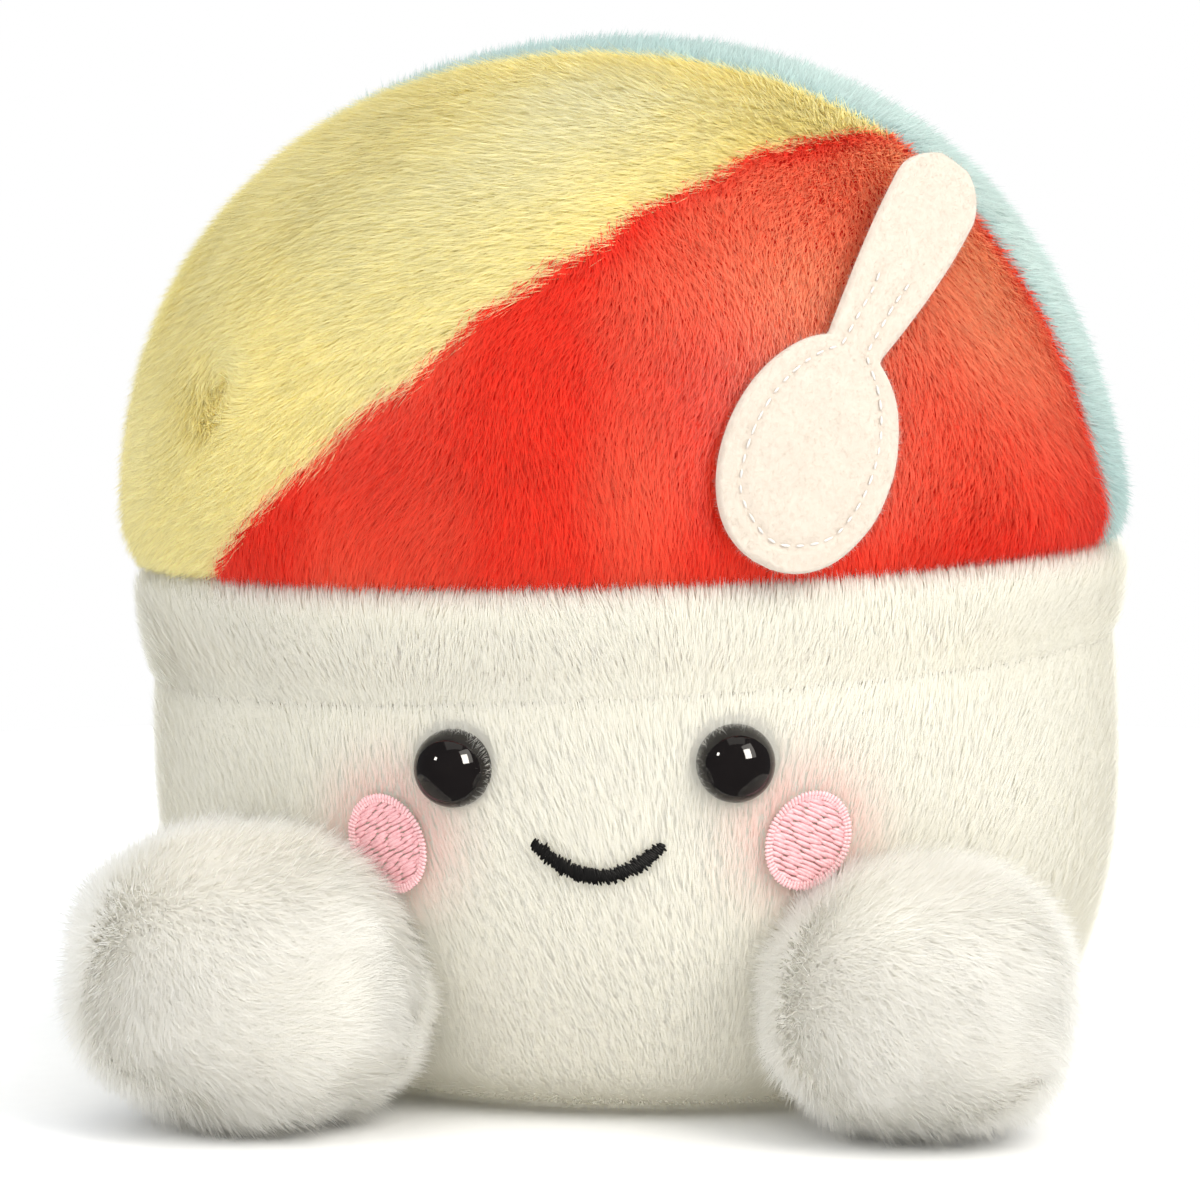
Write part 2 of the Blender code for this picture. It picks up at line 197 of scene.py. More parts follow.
def skin_from(name, rings):
    """A closed smooth skin through rings of points, with a fan at each end."""
    count = len(rings)
    ends = [rings[0].mean(axis=0), rings[-1].mean(axis=0)]
    points = np.vstack(rings + ends)
    faces = []
    for low in range(count - 1):
        for index in range(AROUND):
            after = (index + 1) % AROUND
            a, b = low * AROUND + index, low * AROUND + after
            faces.append((a, b, b + AROUND, a + AROUND))
    first, last = count * AROUND, count * AROUND + 1
    top = (count - 1) * AROUND
    for index in range(AROUND):
        after = (index + 1) % AROUND
        faces.append((first, after, index))
        faces.append((last, top + index, top + after))
    mesh = bpy.data.meshes.new(name)
    mesh.from_pydata(points.tolist(), [], faces)
    mesh.shade_smooth()
    return link_mesh(name, mesh)


def wall_radius(z):
    """Radius of the cup's wall, to the tips of its pile, at height z."""
    flare = np.maximum(0.0, 1.0 - z / FLARE_HEIGHT) ** 2.2
    tuck = np.maximum(0.0, 1.0 - z / BASE_ROUND) ** 2
    return WALL_RADIUS - WALL_FLARE * flare - BASE_TUCK * tuck


def seam_pull(distance):
    """How far the thread pulls the plush in, at a distance from a seam."""
    return SEAM_PULL * math.exp(-((distance / SEAM_REACH) ** 2))


def wall_point(heading, z, out=0.0):
    """A point on the cup's wall at a heading in radians, or out from it."""
    radius = wall_radius(z) + out
    x = math.sin(heading) * radius - side_shift(z)
    return Vector((x, -math.cos(heading) * radius * DEPTH, z))


def wall_frame(heading, z):
    """Outward, sideways and upward directions of the wall."""
    up = (wall_point(heading, z + 0.0005) - wall_point(heading, z - 0.0005)).normalized()
    side = wall_point(heading + 0.01, z) - wall_point(heading - 0.01, z)
    outward = side.cross(up).normalized()
    return outward, up.cross(outward).normalized(), up


cup_rings = [ring(wall_radius(0.0) * share, lambda x, y: 0.0009) for share in (0.3, 0.7, 0.95)]
for step in range(41):
    share = step / 40.0
    z = 0.0012 + share * (CREASE_HEIGHT - 0.0012)
    pull = seam_pull(CREASE_HEIGHT - z) + 0.4 * seam_pull(z)
    radius = wall_radius(z) - CUP_INSET - pull

    def wall_height(x, y, share=share):
        top = tilted(CREASE_HEIGHT, CREASE_TILT, x, y)
        return 0.0012 + share * (top - 0.0012)

    cup_rings.append(ring(radius, wall_height))
cup_rings.append(ring(0.030, lambda x, y: tilted(CREASE_HEIGHT, CREASE_TILT, x, y)))
cup_skin = skin_from("cup_skin", cup_rings)


def set_point_values(mesh, name, values):
    """Store a number or a vector for each point of a mesh."""
    values = np.asarray(values, dtype=np.float32)
    kind, field = ("FLOAT_VECTOR", "vector") if values.ndim == 2 else ("FLOAT", "value")
    attribute = mesh.attributes.get(name) or mesh.attributes.new(name, kind, "POINT")
    attribute.data.foreach_set(field, values.ravel())


def points_of(mesh):
    flat = np.empty(len(mesh.vertices) * 3, dtype=np.float32)
    mesh.vertices.foreach_get("co", flat)
    return flat.reshape(-1, 3).astype(np.float64)


def normals_of(mesh):
    flat = np.empty(len(mesh.vertices) * 3, dtype=np.float32)
    mesh.vertex_normals.foreach_get("vector", flat)
    return flat.reshape(-1, 3).astype(np.float64)


def smooth_waves(points, seed, size, count=7):
    """A soft, wandering value from about -1 to 1 with bumps of a given size."""
    chance = np.random.default_rng(seed)
    total = np.zeros(len(points))
    for _ in range(count):
        direction = chance.normal(size=3)
        direction /= np.linalg.norm(direction)
        pace = 2.0 * math.pi / (size * chance.uniform(0.7, 1.6))
        total += np.sin(points @ direction * pace + chance.uniform(0.0, 2.0 * math.pi))
    return total / math.sqrt(count)


def part_of(source, name, wanted):
    """Some of a mesh's faces as a piece of their own, and the numbers of the points they use."""
    points = points_of(source.data)
    chosen = [tuple(face.vertices) for face, keep in zip(source.data.polygons, wanted) if keep]
    used = sorted({corner for face in chosen for corner in face})
    renamed = {old: new for new, old in enumerate(used)}
    mesh = bpy.data.meshes.new(name)
    mesh.from_pydata(points[used].tolist(), [], [tuple(renamed[c] for c in face) for face in chosen])
    mesh.shade_smooth()
    return link_mesh(name, mesh), used


def wall_bed(skin, first, last):
    """The bed of the pile on a turned skin: its bands from the first up to the last."""
    bands = np.arange(len(skin.data.polygons)) // AROUND
    return part_of(skin, skin.name + "_bed", (bands >= first) & (bands < last))[0]


PRESSURE = 4.0
PUFF_FRAMES = 20


def brush(skin, run, swirl, seed):
    """Lay the nap along a skin in one direction, with soft wandering to either side."""
    mesh = skin.data
    points, normals = points_of(mesh), normals_of(mesh)
    along = np.asarray(run, dtype=np.float64) + 0.0 * points
    along -= normals * np.sum(along * normals, axis=1, keepdims=True)
    along /= np.linalg.norm(along, axis=1, keepdims=True) + 1e-9
    side = np.cross(normals, along)
    turn = smooth_waves(points, seed, 0.030)[:, None] * swirl
    set_point_values(mesh, "nap", along * np.cos(turn) + side * np.sin(turn))
    set_point_values(mesh, "pile_length", np.ones(len(points)))
    set_point_values(mesh, "pile_share", np.ones(len(points)))


def puff(skin, sewn, cap):
    """Let the stuffing push the cloth out between its seams, by no more than the cap."""
    before = points_of(skin.data)
    pins = skin.vertex_groups.new(name="sewn")
    pins.add(np.nonzero(sewn)[0].tolist(), 1.0, "REPLACE")
    cloth = skin.modifiers.new("stuffing", "CLOTH")
    cloth.settings.vertex_group_mass = pins.name
    cloth.settings.use_pressure = True
    cloth.settings.uniform_pressure_force = PRESSURE
    cloth.settings.effector_weights.gravity = 0.0
    cloth.point_cache.frame_end = PUFF_FRAMES
    scene = bpy.context.scene
    for number in range(1, PUFF_FRAMES + 1):
        scene.frame_set(number)
    graph = bpy.context.evaluated_depsgraph_get()
    swollen = skin.evaluated_get(graph)
    moved = points_of(swollen.data) - before
    skin.modifiers.remove(cloth)
    skin.vertex_groups.remove(pins)
    scene.frame_set(1)
    far = np.linalg.norm(moved, axis=1, keepdims=True)
    moved *= np.minimum(1.0, cap / (far + 1e-9))
    skin.data.vertices.foreach_set("co", (before + moved).astype(np.float32).ravel())
    skin.data.update()


def pile_tree():
    """Bristles over a skin: each blade leans along the nap, more or less lifted."""
    tree = bpy.data.node_groups.new("pile", "GeometryNodeTree")
    made = {}

    def add_input(name, kind, value=None):
        made[name] = tree.interface.new_socket(name=name, in_out="INPUT", socket_type=kind)
        if value is not None:
            made[name].default_value = value

    add_input("Skin", "NodeSocketGeometry")
    add_input("Density", "NodeSocketFloat", 5e6)
    add_input("Length", "NodeSocketFloat", 0.003)
    add_input("Width", "NodeSocketFloat", 0.00015)
    add_input("Lay", "NodeSocketFloat", 1.0)
    add_input("Lift", "NodeSocketFloat", 0.5)
    add_input("Scatter", "NodeSocketFloat", 0.3)
    add_input("Twist", "NodeSocketFloat", 0.5)
    add_input("Bare patch", "NodeSocketObject")
    add_input("Clearance", "NodeSocketFloat", 0.0)
    add_input("Seed", "NodeSocketInt", 1)
    add_input("Finish", "NodeSocketMaterial")
    tree.interface.new_socket(name="Pile", in_out="OUTPUT", socket_type="NodeSocketGeometry")
    nodes, links = tree.nodes, tree.links
    given = nodes.new("NodeGroupInput").outputs
    end = nodes.new("NodeGroupOutput")

    def node(kind, settings=None, **inputs):
        new = nodes.new(kind)
        for key, value in (settings or {}).items():
            setattr(new, key, value)
        for key, value in inputs.items():
            socket = new.inputs[int(key[1:])] if key[1:].isdigit() else new.inputs[key]
            if isinstance(value, bpy.types.NodeSocket):
                links.new(value, socket)
            else:
                socket.default_value = value
        return new

    def vector(operation, first, second=None, scale=None):
        new = nodes.new("ShaderNodeVectorMath")
        new.operation = operation
        links.new(first, new.inputs[0])
        if second is not None:
            links.new(second, new.inputs[1])
        if scale is not None:
            links.new(scale, new.inputs["Scale"])
        return new.outputs["Vector"]

    def times(first, second):
        new = nodes.new("ShaderNodeMath")
        new.operation = "MULTIPLY"
        links.new(first, new.inputs[0])
        links.new(second, new.inputs[1])
        return new.outputs[0]

    def chance(low, high, offset, kind="FLOAT"):
        new = nodes.new("FunctionNodeRandomValue")
        new.data_type = kind
        near = [s for s in new.inputs if s.enabled and s.name in ("Min", "Max")]
        near[0].default_value, near[1].default_value = low, high
        shifted = node("ShaderNodeMath", {"operation": "ADD"}, _0=given["Seed"], _1=offset)
        links.new(shifted.outputs[0], new.inputs["Seed"])
        return next(s for s in new.outputs if s.enabled)

    def attribute(name, kind):
        new = nodes.new("GeometryNodeInputNamedAttribute")
        new.data_type = kind
        new.inputs["Name"].default_value = name
        return next(s for s in new.outputs if s.enabled and s.name == "Attribute")

    points = node(
        "GeometryNodeDistributePointsOnFaces",
        {"distribute_method": "RANDOM"},
        Mesh=given["Skin"],
        Density=times(given["Density"], attribute("pile_share", "FLOAT")),
        Seed=given["Seed"],
    )
    patch = node("GeometryNodeObjectInfo", None, Object=given["Bare patch"])
    near = node("GeometryNodeProximity", {"target_element": "FACES"}, _0=patch.outputs["Geometry"])
    close = node(
        "FunctionNodeCompare",
        {"data_type": "FLOAT", "operation": "LESS_THAN"},
        _0=near.outputs["Distance"],
        _1=given["Clearance"],
    )
    kept = node(
        "GeometryNodeDeleteGeometry",
        {"domain": "POINT"},
        Geometry=points.outputs["Points"],
        Selection=close.outputs[0],
    )
    normal = points.outputs["Normal"]
    noted = node(
        "GeometryNodeStoreNamedAttribute",
        {"data_type": "FLOAT_VECTOR", "domain": "POINT"},
        Geometry=kept.outputs[0],
        Name="outward",
        Value=normal,
    )
    spread = chance((-1.0, -1.0, -1.0), (1.0, 1.0, 1.0), 11, "FLOAT_VECTOR")
    lie = vector("SCALE", attribute("nap", "FLOAT_VECTOR"), scale=given["Lay"])
    stand = vector("SCALE", normal, scale=given["Lift"])
    stray = vector("SCALE", spread, scale=given["Scatter"])
    direction = vector("NORMALIZE", vector("ADD", vector("ADD", lie, stand), stray))
    rolled = chance((-1.0, -1.0, -1.0), (1.0, 1.0, 1.0), 23, "FLOAT_VECTOR")
    facing = vector("ADD", normal, vector("SCALE", rolled, scale=given["Twist"]))
    turned = node(
        "FunctionNodeAxesToRotation",
        {"primary_axis": "Z", "secondary_axis": "X"},
        _0=direction,
        _1=facing,
    )
    length = times(times(given["Length"], attribute("pile_length", "FLOAT")), chance(0.6, 1.15, 31))
    width = times(given["Width"], chance(0.6, 1.3, 37))
    size = node("ShaderNodeCombineXYZ", None, X=1.0, Y=width, Z=length)
    flat = node("GeometryNodeMeshCircle", {"fill_type": "NGON"}, Vertices=3, Radius=1.0)
    upright = node(
        "GeometryNodeTransform",
        None,
        Geometry=flat.outputs[0],
        Translation=(0.0, 0.0, 1.0 / 3.0),
        Rotation=(0.0, -math.pi / 2.0, 0.0),
        Scale=(2.0 / 3.0, 1.0 / math.sqrt(3.0), 1.0),
    )
    place = nodes.new("GeometryNodeInputPosition")
    apart = node("ShaderNodeSeparateXYZ", None, _0=place.outputs[0])
    blade = node(
        "GeometryNodeStoreNamedAttribute",
        {"data_type": "FLOAT", "domain": "POINT"},
        Geometry=upright.outputs[0],
        Name="tip",
        Value=apart.outputs["Z"],
    )
    blades = node(
        "GeometryNodeInstanceOnPoints",
        None,
        Points=noted.outputs[0],
        Instance=blade.outputs[0],
        Rotation=turned.outputs[0],
        Scale=size.outputs[0],
    )
    toned = node(
        "GeometryNodeStoreNamedAttribute",
        {"data_type": "FLOAT", "domain": "INSTANCE"},
        Geometry=blades.outputs[0],
        Name="tone",
        Value=chance(0.0, 1.0, 41),
    )
    real = node("GeometryNodeRealizeInstances", None, Geometry=toned.outputs[0])
    done = node("GeometryNodeSetMaterial", None, Geometry=real.outputs[0], Material=given["Finish"])
    links.new(done.outputs[0], end.inputs[0])
    return tree, made


PILE, PILE_INPUTS = pile_tree()


def soften_normals(mesh, follow):
    """Turn each blade's face outwards, and shade it mostly as the skin under it."""
    count = len(mesh.polygons)
    corners = np.empty(count * 3, dtype=np.int32)
    mesh.polygons.foreach_get("vertices", corners)
    under = np.empty(len(mesh.vertices) * 3, dtype=np.float32)
    mesh.attributes["outward"].data.foreach_get("vector", under)
    under = under.reshape(-1, 3)
    own = np.empty(count * 3, dtype=np.float32)
    mesh.polygons.foreach_get("normal", own)
    own = own.reshape(-1, 3)
    wrong = np.sum(own * under[corners[::3]], axis=1) < 0.0
    if wrong.any():
        triangles = corners.reshape(-1, 3)
        triangles[wrong] = triangles[wrong][:, ::-1]
        mesh.polygons.foreach_set("vertices", triangles.ravel())
        mesh.update()
        own[wrong] *= -1.0
    shade = under * follow
    shade[corners] += np.repeat(own, 3, axis=0) * (1.0 - follow)
    shade /= np.linalg.norm(shade, axis=1, keepdims=True)
    mesh.shade_smooth()
    mesh.normals_split_custom_set_from_vertices(shade.tolist())


def own_bake_map(mesh):
    """Give each blade its own square of a map, so that its colour can be stored."""
    count = len(mesh.polygons)
    side = math.ceil(math.sqrt(count))
    index = np.arange(count)
    corner = np.stack([index % side, index // side], axis=1)[:, None, :]
    inside = np.array([(0.12, 0.12), (0.88, 0.12), (0.5, 0.88)])[None, :, :]
    places = ((corner + inside) / side).reshape(-1, 2)
    layer = mesh.uv_layers.new(name="OFBake")
    layer.data.foreach_set("uv", places.ravel().astype(np.float32))


def grow_pile(name, skin, finish, bare=None, follow=0.75, **sizes):
    """Bristles on a skin, as a plain mesh piece of their own."""
    host = link_mesh(name + "_host", skin.data.copy())
    modifier = host.modifiers.new("pile", "NODES")
    modifier.node_group = PILE
    chosen = {"Finish": finish, "Bare patch": bare}
    chosen.update({key.replace("_", " "): value for key, value in sizes.items()})
    for key, value in chosen.items():
        if value is not None:
            modifier[PILE_INPUTS[key].identifier] = value
    graph = bpy.context.evaluated_depsgraph_get()
    mesh = bpy.data.meshes.new_from_object(host.evaluated_get(graph))
    mesh.name = name
    bpy.data.objects.remove(host)
    soften_normals(mesh, follow)
    own_bake_map(mesh)
    return link_mesh(name, mesh)


BLUSH = (0.97, 0.60, 0.57, 1.0)


def plush_finish(name, root, tip, patch, fleck, through_share=0.5, brushed=BLUSH):
    """Plush: darker at the roots and lighter at the tips, a painted shade of the deep pile; each hair a
    little off its neighbours.

    Where a stored value asks for it, it takes a second colour: a real stain on some pieces, and on others a
    painted sheen where light catches the nap.
    """
    material, tree, shader = shader_of(name)
    nodes, links = tree.nodes, tree.links
    tip_share = nodes.new("ShaderNodeAttribute")
    tip_share.attribute_name = "tip"
    tone = nodes.new("ShaderNodeAttribute")
    tone.attribute_name = "tone"
    # Painted shade: each blade darkens from its tip to its root, as if shaded deep in the pile.
    along = nodes.new("ShaderNodeMix")
    along.data_type = "RGBA"
    along.inputs["A"].default_value = (*root, 1.0)
    along.inputs["B"].default_value = (*tip, 1.0)
    links.new(tip_share.outputs["Fac"], along.inputs["Factor"])
    # The second colour, by a stored value: a real stain on the cup, painted sheen of light on the nap on
    # the ice.
    stain_and_sheen_mask = nodes.new("ShaderNodeAttribute")
    stain_and_sheen_mask.attribute_name = "brushed"
    stain_and_sheen_mix = nodes.new("ShaderNodeMix")
    stain_and_sheen_mix.data_type = "RGBA"
    stain_and_sheen_mix.inputs["B"].default_value = brushed
    links.new(stain_and_sheen_mask.outputs["Fac"], stain_and_sheen_mix.inputs["Factor"])
    links.new(along.outputs["Result"], stain_and_sheen_mix.inputs["A"])
    place = nodes.new("ShaderNodeTexCoord")
    cloud = nodes.new("ShaderNodeTexNoise")
    cloud.inputs["Scale"].default_value = 45.0
    cloud.inputs["Detail"].default_value = 3.0
    links.new(place.outputs["Object"], cloud.inputs["Vector"])
    brighter = nodes.new("ShaderNodeMapRange")
    brighter.inputs["From Min"].default_value = 0.3
    brighter.inputs["From Max"].default_value = 0.7
    brighter.inputs["To Min"].default_value = 1.0 - patch
    brighter.inputs["To Max"].default_value = 1.0 + patch
    links.new(cloud.outputs["Fac"], brighter.inputs["Value"])
    flecked = nodes.new("ShaderNodeMapRange")
    flecked.inputs["To Min"].default_value = 1.0 - fleck
    flecked.inputs["To Max"].default_value = 1.0 + fleck
    links.new(tone.outputs["Fac"], flecked.inputs["Value"])
    both = nodes.new("ShaderNodeMath")
    both.operation = "MULTIPLY"
    links.new(brighter.outputs[0], both.inputs[0])
    links.new(flecked.outputs[0], both.inputs[1])
    shaded = nodes.new("ShaderNodeVectorMath")
    shaded.operation = "SCALE"
    links.new(stain_and_sheen_mix.outputs["Result"], shaded.inputs[0])
    links.new(both.outputs[0], shaded.inputs["Scale"])
    links.new(shaded.outputs[0], shader.inputs["Base Color"])
    shader.inputs["Roughness"].default_value = 0.48
    shader.inputs["Specular IOR Level"].default_value = 0.35
    shader.inputs["Sheen Weight"].default_value = 0.2
    shader.inputs["Sheen Roughness"].default_value = 0.5
    through = nodes.new("ShaderNodeBsdfTranslucent")
    links.new(shaded.outputs[0], through.inputs["Color"])
    hair = nodes.new("ShaderNodeMixShader")
    hair.inputs["Fac"].default_value = through_share
    links.new(shader.outputs[0], hair.inputs[1])
    links.new(through.outputs[0], hair.inputs[2])
    links.new(hair.outputs[0], nodes["Material Output"].inputs["Surface"])
    return material


# The root colour is darker than the tip colour as painted shade of the deep pile.
IVORY_ROOT = (0.950, 0.935, 0.87)
IVORY_TIP = (0.985, 0.974, 0.925)
ivory = plush_finish("ivory plush", IVORY_ROOT, IVORY_TIP, patch=0.012, fleck=0.02, through_share=0.6)
cup_heights = points_of(cup_skin.data)[:, 2]
puff(cup_skin, (cup_heights < 0.0030) | (cup_heights > CREASE_HEIGHT - 0.0040), cap=0.0005)
UP = (0.0, 0.0, 1.0)
cup_bed = wall_bed(cup_skin, 2, 43)
brush(cup_bed, UP, swirl=0.20, seed=3)
cup_skin.data.materials.append(ivory)
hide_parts("cup_body")
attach(cup_skin, "root")

# ---------------------------------------------------------------------------------------------
# The cup's rim: a padded roll of the same ivory plush, gathered at the crease below it and
# sewn to the ice above it. Its nap is brushed up, over the edge of the ice.
RIM_FOOT = 0.0563
RIM_TOP = 0.0578
RIM_BULGE = 0.0003
RIM_TUCK = 0.0018
CREASE_CROWD = 2.2
CREASE_REACH = 0.0014
FRINGE = 0.55
FRINGE_CROWD = 1.4
FRINGE_REACH = 0.0020
rim_rings = [ring(0.030, lambda x, y: tilted(CREASE_HEIGHT + 0.0003, CREASE_TILT, x, y))]
for step in range(21):
    share = step / 20.0

    def rim_height(x, y, share=share):
        low = tilted(CREASE_HEIGHT + 0.0003, CREASE_TILT, x, y)
        return low + (tilted(JUNCTION_HEIGHT, JUNCTION_TILT, x, y) - low) * share

    straight = RIM_FOOT + (RIM_TOP - RIM_FOOT) * share
    bulge = RIM_BULGE * math.sin(math.pi * share**1.2)
    pull = seam_pull(share * (JUNCTION_HEIGHT - CREASE_HEIGHT)) + RIM_TUCK * share**14
    rim_rings.append(ring(straight + bulge - CUP_INSET - pull, rim_height))
rim_rings.append(ring(0.030, lambda x, y: tilted(JUNCTION_HEIGHT, JUNCTION_TILT, x, y)))
rim_skin = skin_from("rim_skin", rim_rings)
rim_points = points_of(rim_skin.data)
rim_x, rim_y, rim_z = rim_points.T
under_top = tilted(JUNCTION_HEIGHT, JUNCTION_TILT, rim_x, rim_y / DEPTH) - rim_z
over_foot = rim_z - tilted(CREASE_HEIGHT, CREASE_TILT, rim_x, rim_y / DEPTH)
puff(rim_skin, (under_top < 0.0012) | (over_foot < 0.0030), cap=0.0003)
rim_bed = wall_bed(rim_skin, 1, 21)
brush(rim_bed, UP, swirl=0.25, seed=5)
rim_x, rim_y, rim_z = points_of(rim_bed.data).T
under_top = tilted(JUNCTION_HEIGHT, JUNCTION_TILT, rim_x, rim_y / DEPTH) - rim_z
fringe = np.exp(-((under_top / FRINGE_REACH) ** 2))
set_point_values(rim_bed.data, "pile_length", 1.0 + FRINGE * fringe)
over_foot = rim_z - tilted(CREASE_HEIGHT, CREASE_TILT, rim_x, rim_y / DEPTH)
root_crowd = CREASE_CROWD * np.exp(-((over_foot / CREASE_REACH) ** 2))
set_point_values(rim_bed.data, "pile_share", 0.75 + FRINGE_CROWD * fringe + root_crowd)
rim_skin.data.materials.append(ivory)
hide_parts("cup_rim")
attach(rim_skin, "root")
rim_pile = grow_pile(
    "rim_pile", rim_bed, ivory, follow=0.95, Density=2.6e7, Length=0.0023, Width=0.00019,
    Lay=1.0, Lift=0.34, Scatter=0.18, Twist=0.2, Seed=7,
)
bpy.data.objects.remove(rim_bed)
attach(rim_pile, "root")

# ---------------------------------------------------------------------------------------------
# The ice: a stuffed mound of short plush in three gores of yellow, red and pale blue. The gores
# meet at one point high on the right, and their piles mix along the seams.
ICE_RADIUS = 0.0583
ICE_POWER = 2.2
ICE_TUCK = 0.0020
ICE_INSET = 0.0013
HEART = np.array([-0.0200, 0.0160, 0.0565])
APEX = np.array([0.0297, -0.0159, 0.1074])
# Each gore's root colour is darker than its tip colour as painted shade of the deep pile.
GORES = {
    "ice_yellow": (-100.0, (0.985, 0.88, 0.39), (0.995, 0.945, 0.56), (-0.75, -0.10, -0.65)),
    "ice_red": (-27.8, (0.94, 0.029, 0.009), (0.985, 0.088, 0.033), (-0.25, -0.35, -1.0)),
    "ice_blue": (69.0, (0.55, 0.72, 0.70), (0.66, 0.80, 0.77), (0.25, 1.0, -0.60)),
}
# Painted sheen: the lighter colour each gore is given where the key light catches its nap.
PAINTED_SHEEN = {
    "ice_yellow": (0.99, 0.955, 0.70, 1.0),
    "ice_red": (0.995, 0.50, 0.26, 1.0),
    "ice_blue": (0.80, 0.90, 0.86, 1.0),
}
# Where the painted sheen lies on each gore: it grows towards +X past the first number and upwards past the
# second, and fades within the third of a seam.
PAINTED_SHEEN_REACH = {
    "ice_yellow": (-0.050, 0.070, 0.014),
    "ice_red": (-0.008, 0.062, 0.003),
    "ice_blue": (-0.004, 0.064, 0.003),
}
# How far the painted sheen wanders in streaks.
STREAKS = 0.12
SEAM_MIX = 0.0013
SEAM_WANDER = 0.0005
SEAM_BOW = 0.0015
PILE_DENSITY = {"ice_yellow": 2.4e7, "ice_red": 2.1e7, "ice_blue": 0.9e7}
PUCKER = Vector((-0.0447, -0.0337, 0.0800))
PUCKER_REACH = 0.0036
PUCKER_DEPTH = 0.0018
PUCKER_SWIRL = 0.0075


def ice_ring(angle):
    """One ring of the mound, at an angle from 0 at its edge to 90 degrees at its top."""
    radius = ICE_RADIUS * math.cos(angle) ** (2.0 / ICE_POWER)
    rise = ICE_HEIGHT * math.sin(angle) ** (2.0 / ICE_POWER)
    tuck = ICE_TUCK * math.exp(-((rise / 0.0035) ** 2))

    def height_at(x, y):
        return tilted(JUNCTION_HEIGHT, JUNCTION_TILT, x, y) + 0.0003 + rise * (1.0 - ICE_INSET / ICE_HEIGHT)

    return ring(max(radius - ICE_INSET - tuck, 0.0004), height_at)


ice_rings = [ring(0.030, lambda x, y: tilted(JUNCTION_HEIGHT + 0.0003, JUNCTION_TILT, x, y))]
ice_rings += [ice_ring(math.radians(0.4 + 89.0 * step / 72.0)) for step in range(73)]
mound = skin_from("mound", ice_rings)


def gore_depths(points, wander=0.0):
    """How far each point lies inside each gore, and below nought outside it."""
    line = APEX - HEART
    starts = [gore[0] for gore in GORES.values()]
    bow = SEAM_BOW * (0.4 + np.cos(2.0 * math.pi * (points[:, 2] - JUNCTION_HEIGHT) / 0.046))
    bow = bow * np.clip((APEX[0] - points[:, 0]) / 0.010, 0.0, 1.0)
    points = points + np.outer(bow, (0.35, 0.0, -0.35))
    for axis in range(3):
        points[:, axis] += wander * smooth_waves(points, 101 + axis, 0.008)
    depths = []
    for start, end in zip(starts, starts[1:] + [starts[0] + 360.0]):
        sides = []
        for heading, way in ((start, 1.0), (end, -1.0)):
            outward = (math.sin(math.radians(heading)), -math.cos(math.radians(heading)), 0.0)
            face = np.cross(line, outward)
            sides.append((points - HEART) @ face / np.linalg.norm(face) * way)
        pick = np.minimum if end - start < 180.0 else np.maximum
        depths.append(pick(*sides))
    return np.array(depths)


def pucker_pull(points):
    """The gathered spot on the yellow gore, where the filling hole was drawn shut by hand."""
    inward = Vector((0.0, 0.0, JUNCTION_HEIGHT)) - PUCKER
    distance = np.linalg.norm(points - np.array(PUCKER), axis=1)
    share = np.exp(-((distance / PUCKER_REACH) ** 2)) * PUCKER_DEPTH
    return np.array(inward.normalized())[None, :] * share[:, None]


def swirl_nap(skin, middle, reach):
    """Turn the nap round a spot, as round the crown of a head, fading out beyond its reach."""
    points, normals = points_of(skin.data), normals_of(skin.data)
    nap = np.empty(len(points) * 3, dtype=np.float32)
    skin.data.attributes["nap"].data.foreach_get("vector", nap)
    nap = nap.reshape(-1, 3)
    away = points - np.array(middle)
    distance = np.linalg.norm(away, axis=1, keepdims=True)
    away /= distance + 1e-6
    round_it = np.cross(normals, away) * 0.8 - away * 0.6
    share = np.exp(-((distance / reach) ** 2))
    turned = nap * (1.0 - share) + round_it * share
    turned -= normals * np.sum(turned * normals, axis=1, keepdims=True)
    turned /= np.linalg.norm(turned, axis=1, keepdims=True) + 1e-9
    set_point_values(skin.data, "nap", turned)


mound_points = points_of(mound.data)
seam_distance = gore_depths(mound_points).max(axis=0)
rise = mound_points[:, 2] - tilted(
    JUNCTION_HEIGHT, JUNCTION_TILT, mound_points[:, 0], mound_points[:, 1] / DEPTH
)
puff(mound, (seam_distance < 0.0020) | (rise < 0.0025), cap=0.0011)
mound_points = points_of(mound.data)
mound_points += pucker_pull(mound_points)
mound.data.vertices.foreach_set("co", mound_points.astype(np.float32).ravel())
bpy.context.view_layer.objects.active = mound
finer = mound.modifiers.new("finer", "SUBSURF")
finer.levels = finer.render_levels = 1
bpy.ops.object.modifier_apply(modifier=finer.name)
mound_points = points_of(mound.data)
rise = mound_points[:, 2] - tilted(
    JUNCTION_HEIGHT, JUNCTION_TILT, mound_points[:, 0], mound_points[:, 1] / DEPTH
)
faces = [tuple(polygon.vertices) for polygon in mound.data.polygons]
depths = gore_depths(mound_points, SEAM_WANDER)
which = np.array([depths[:, list(face)].mean(axis=1).argmax() for face in faces])
near_gore = np.array([depths[:, list(face)].max(axis=1) > -SEAM_MIX for face in faces])
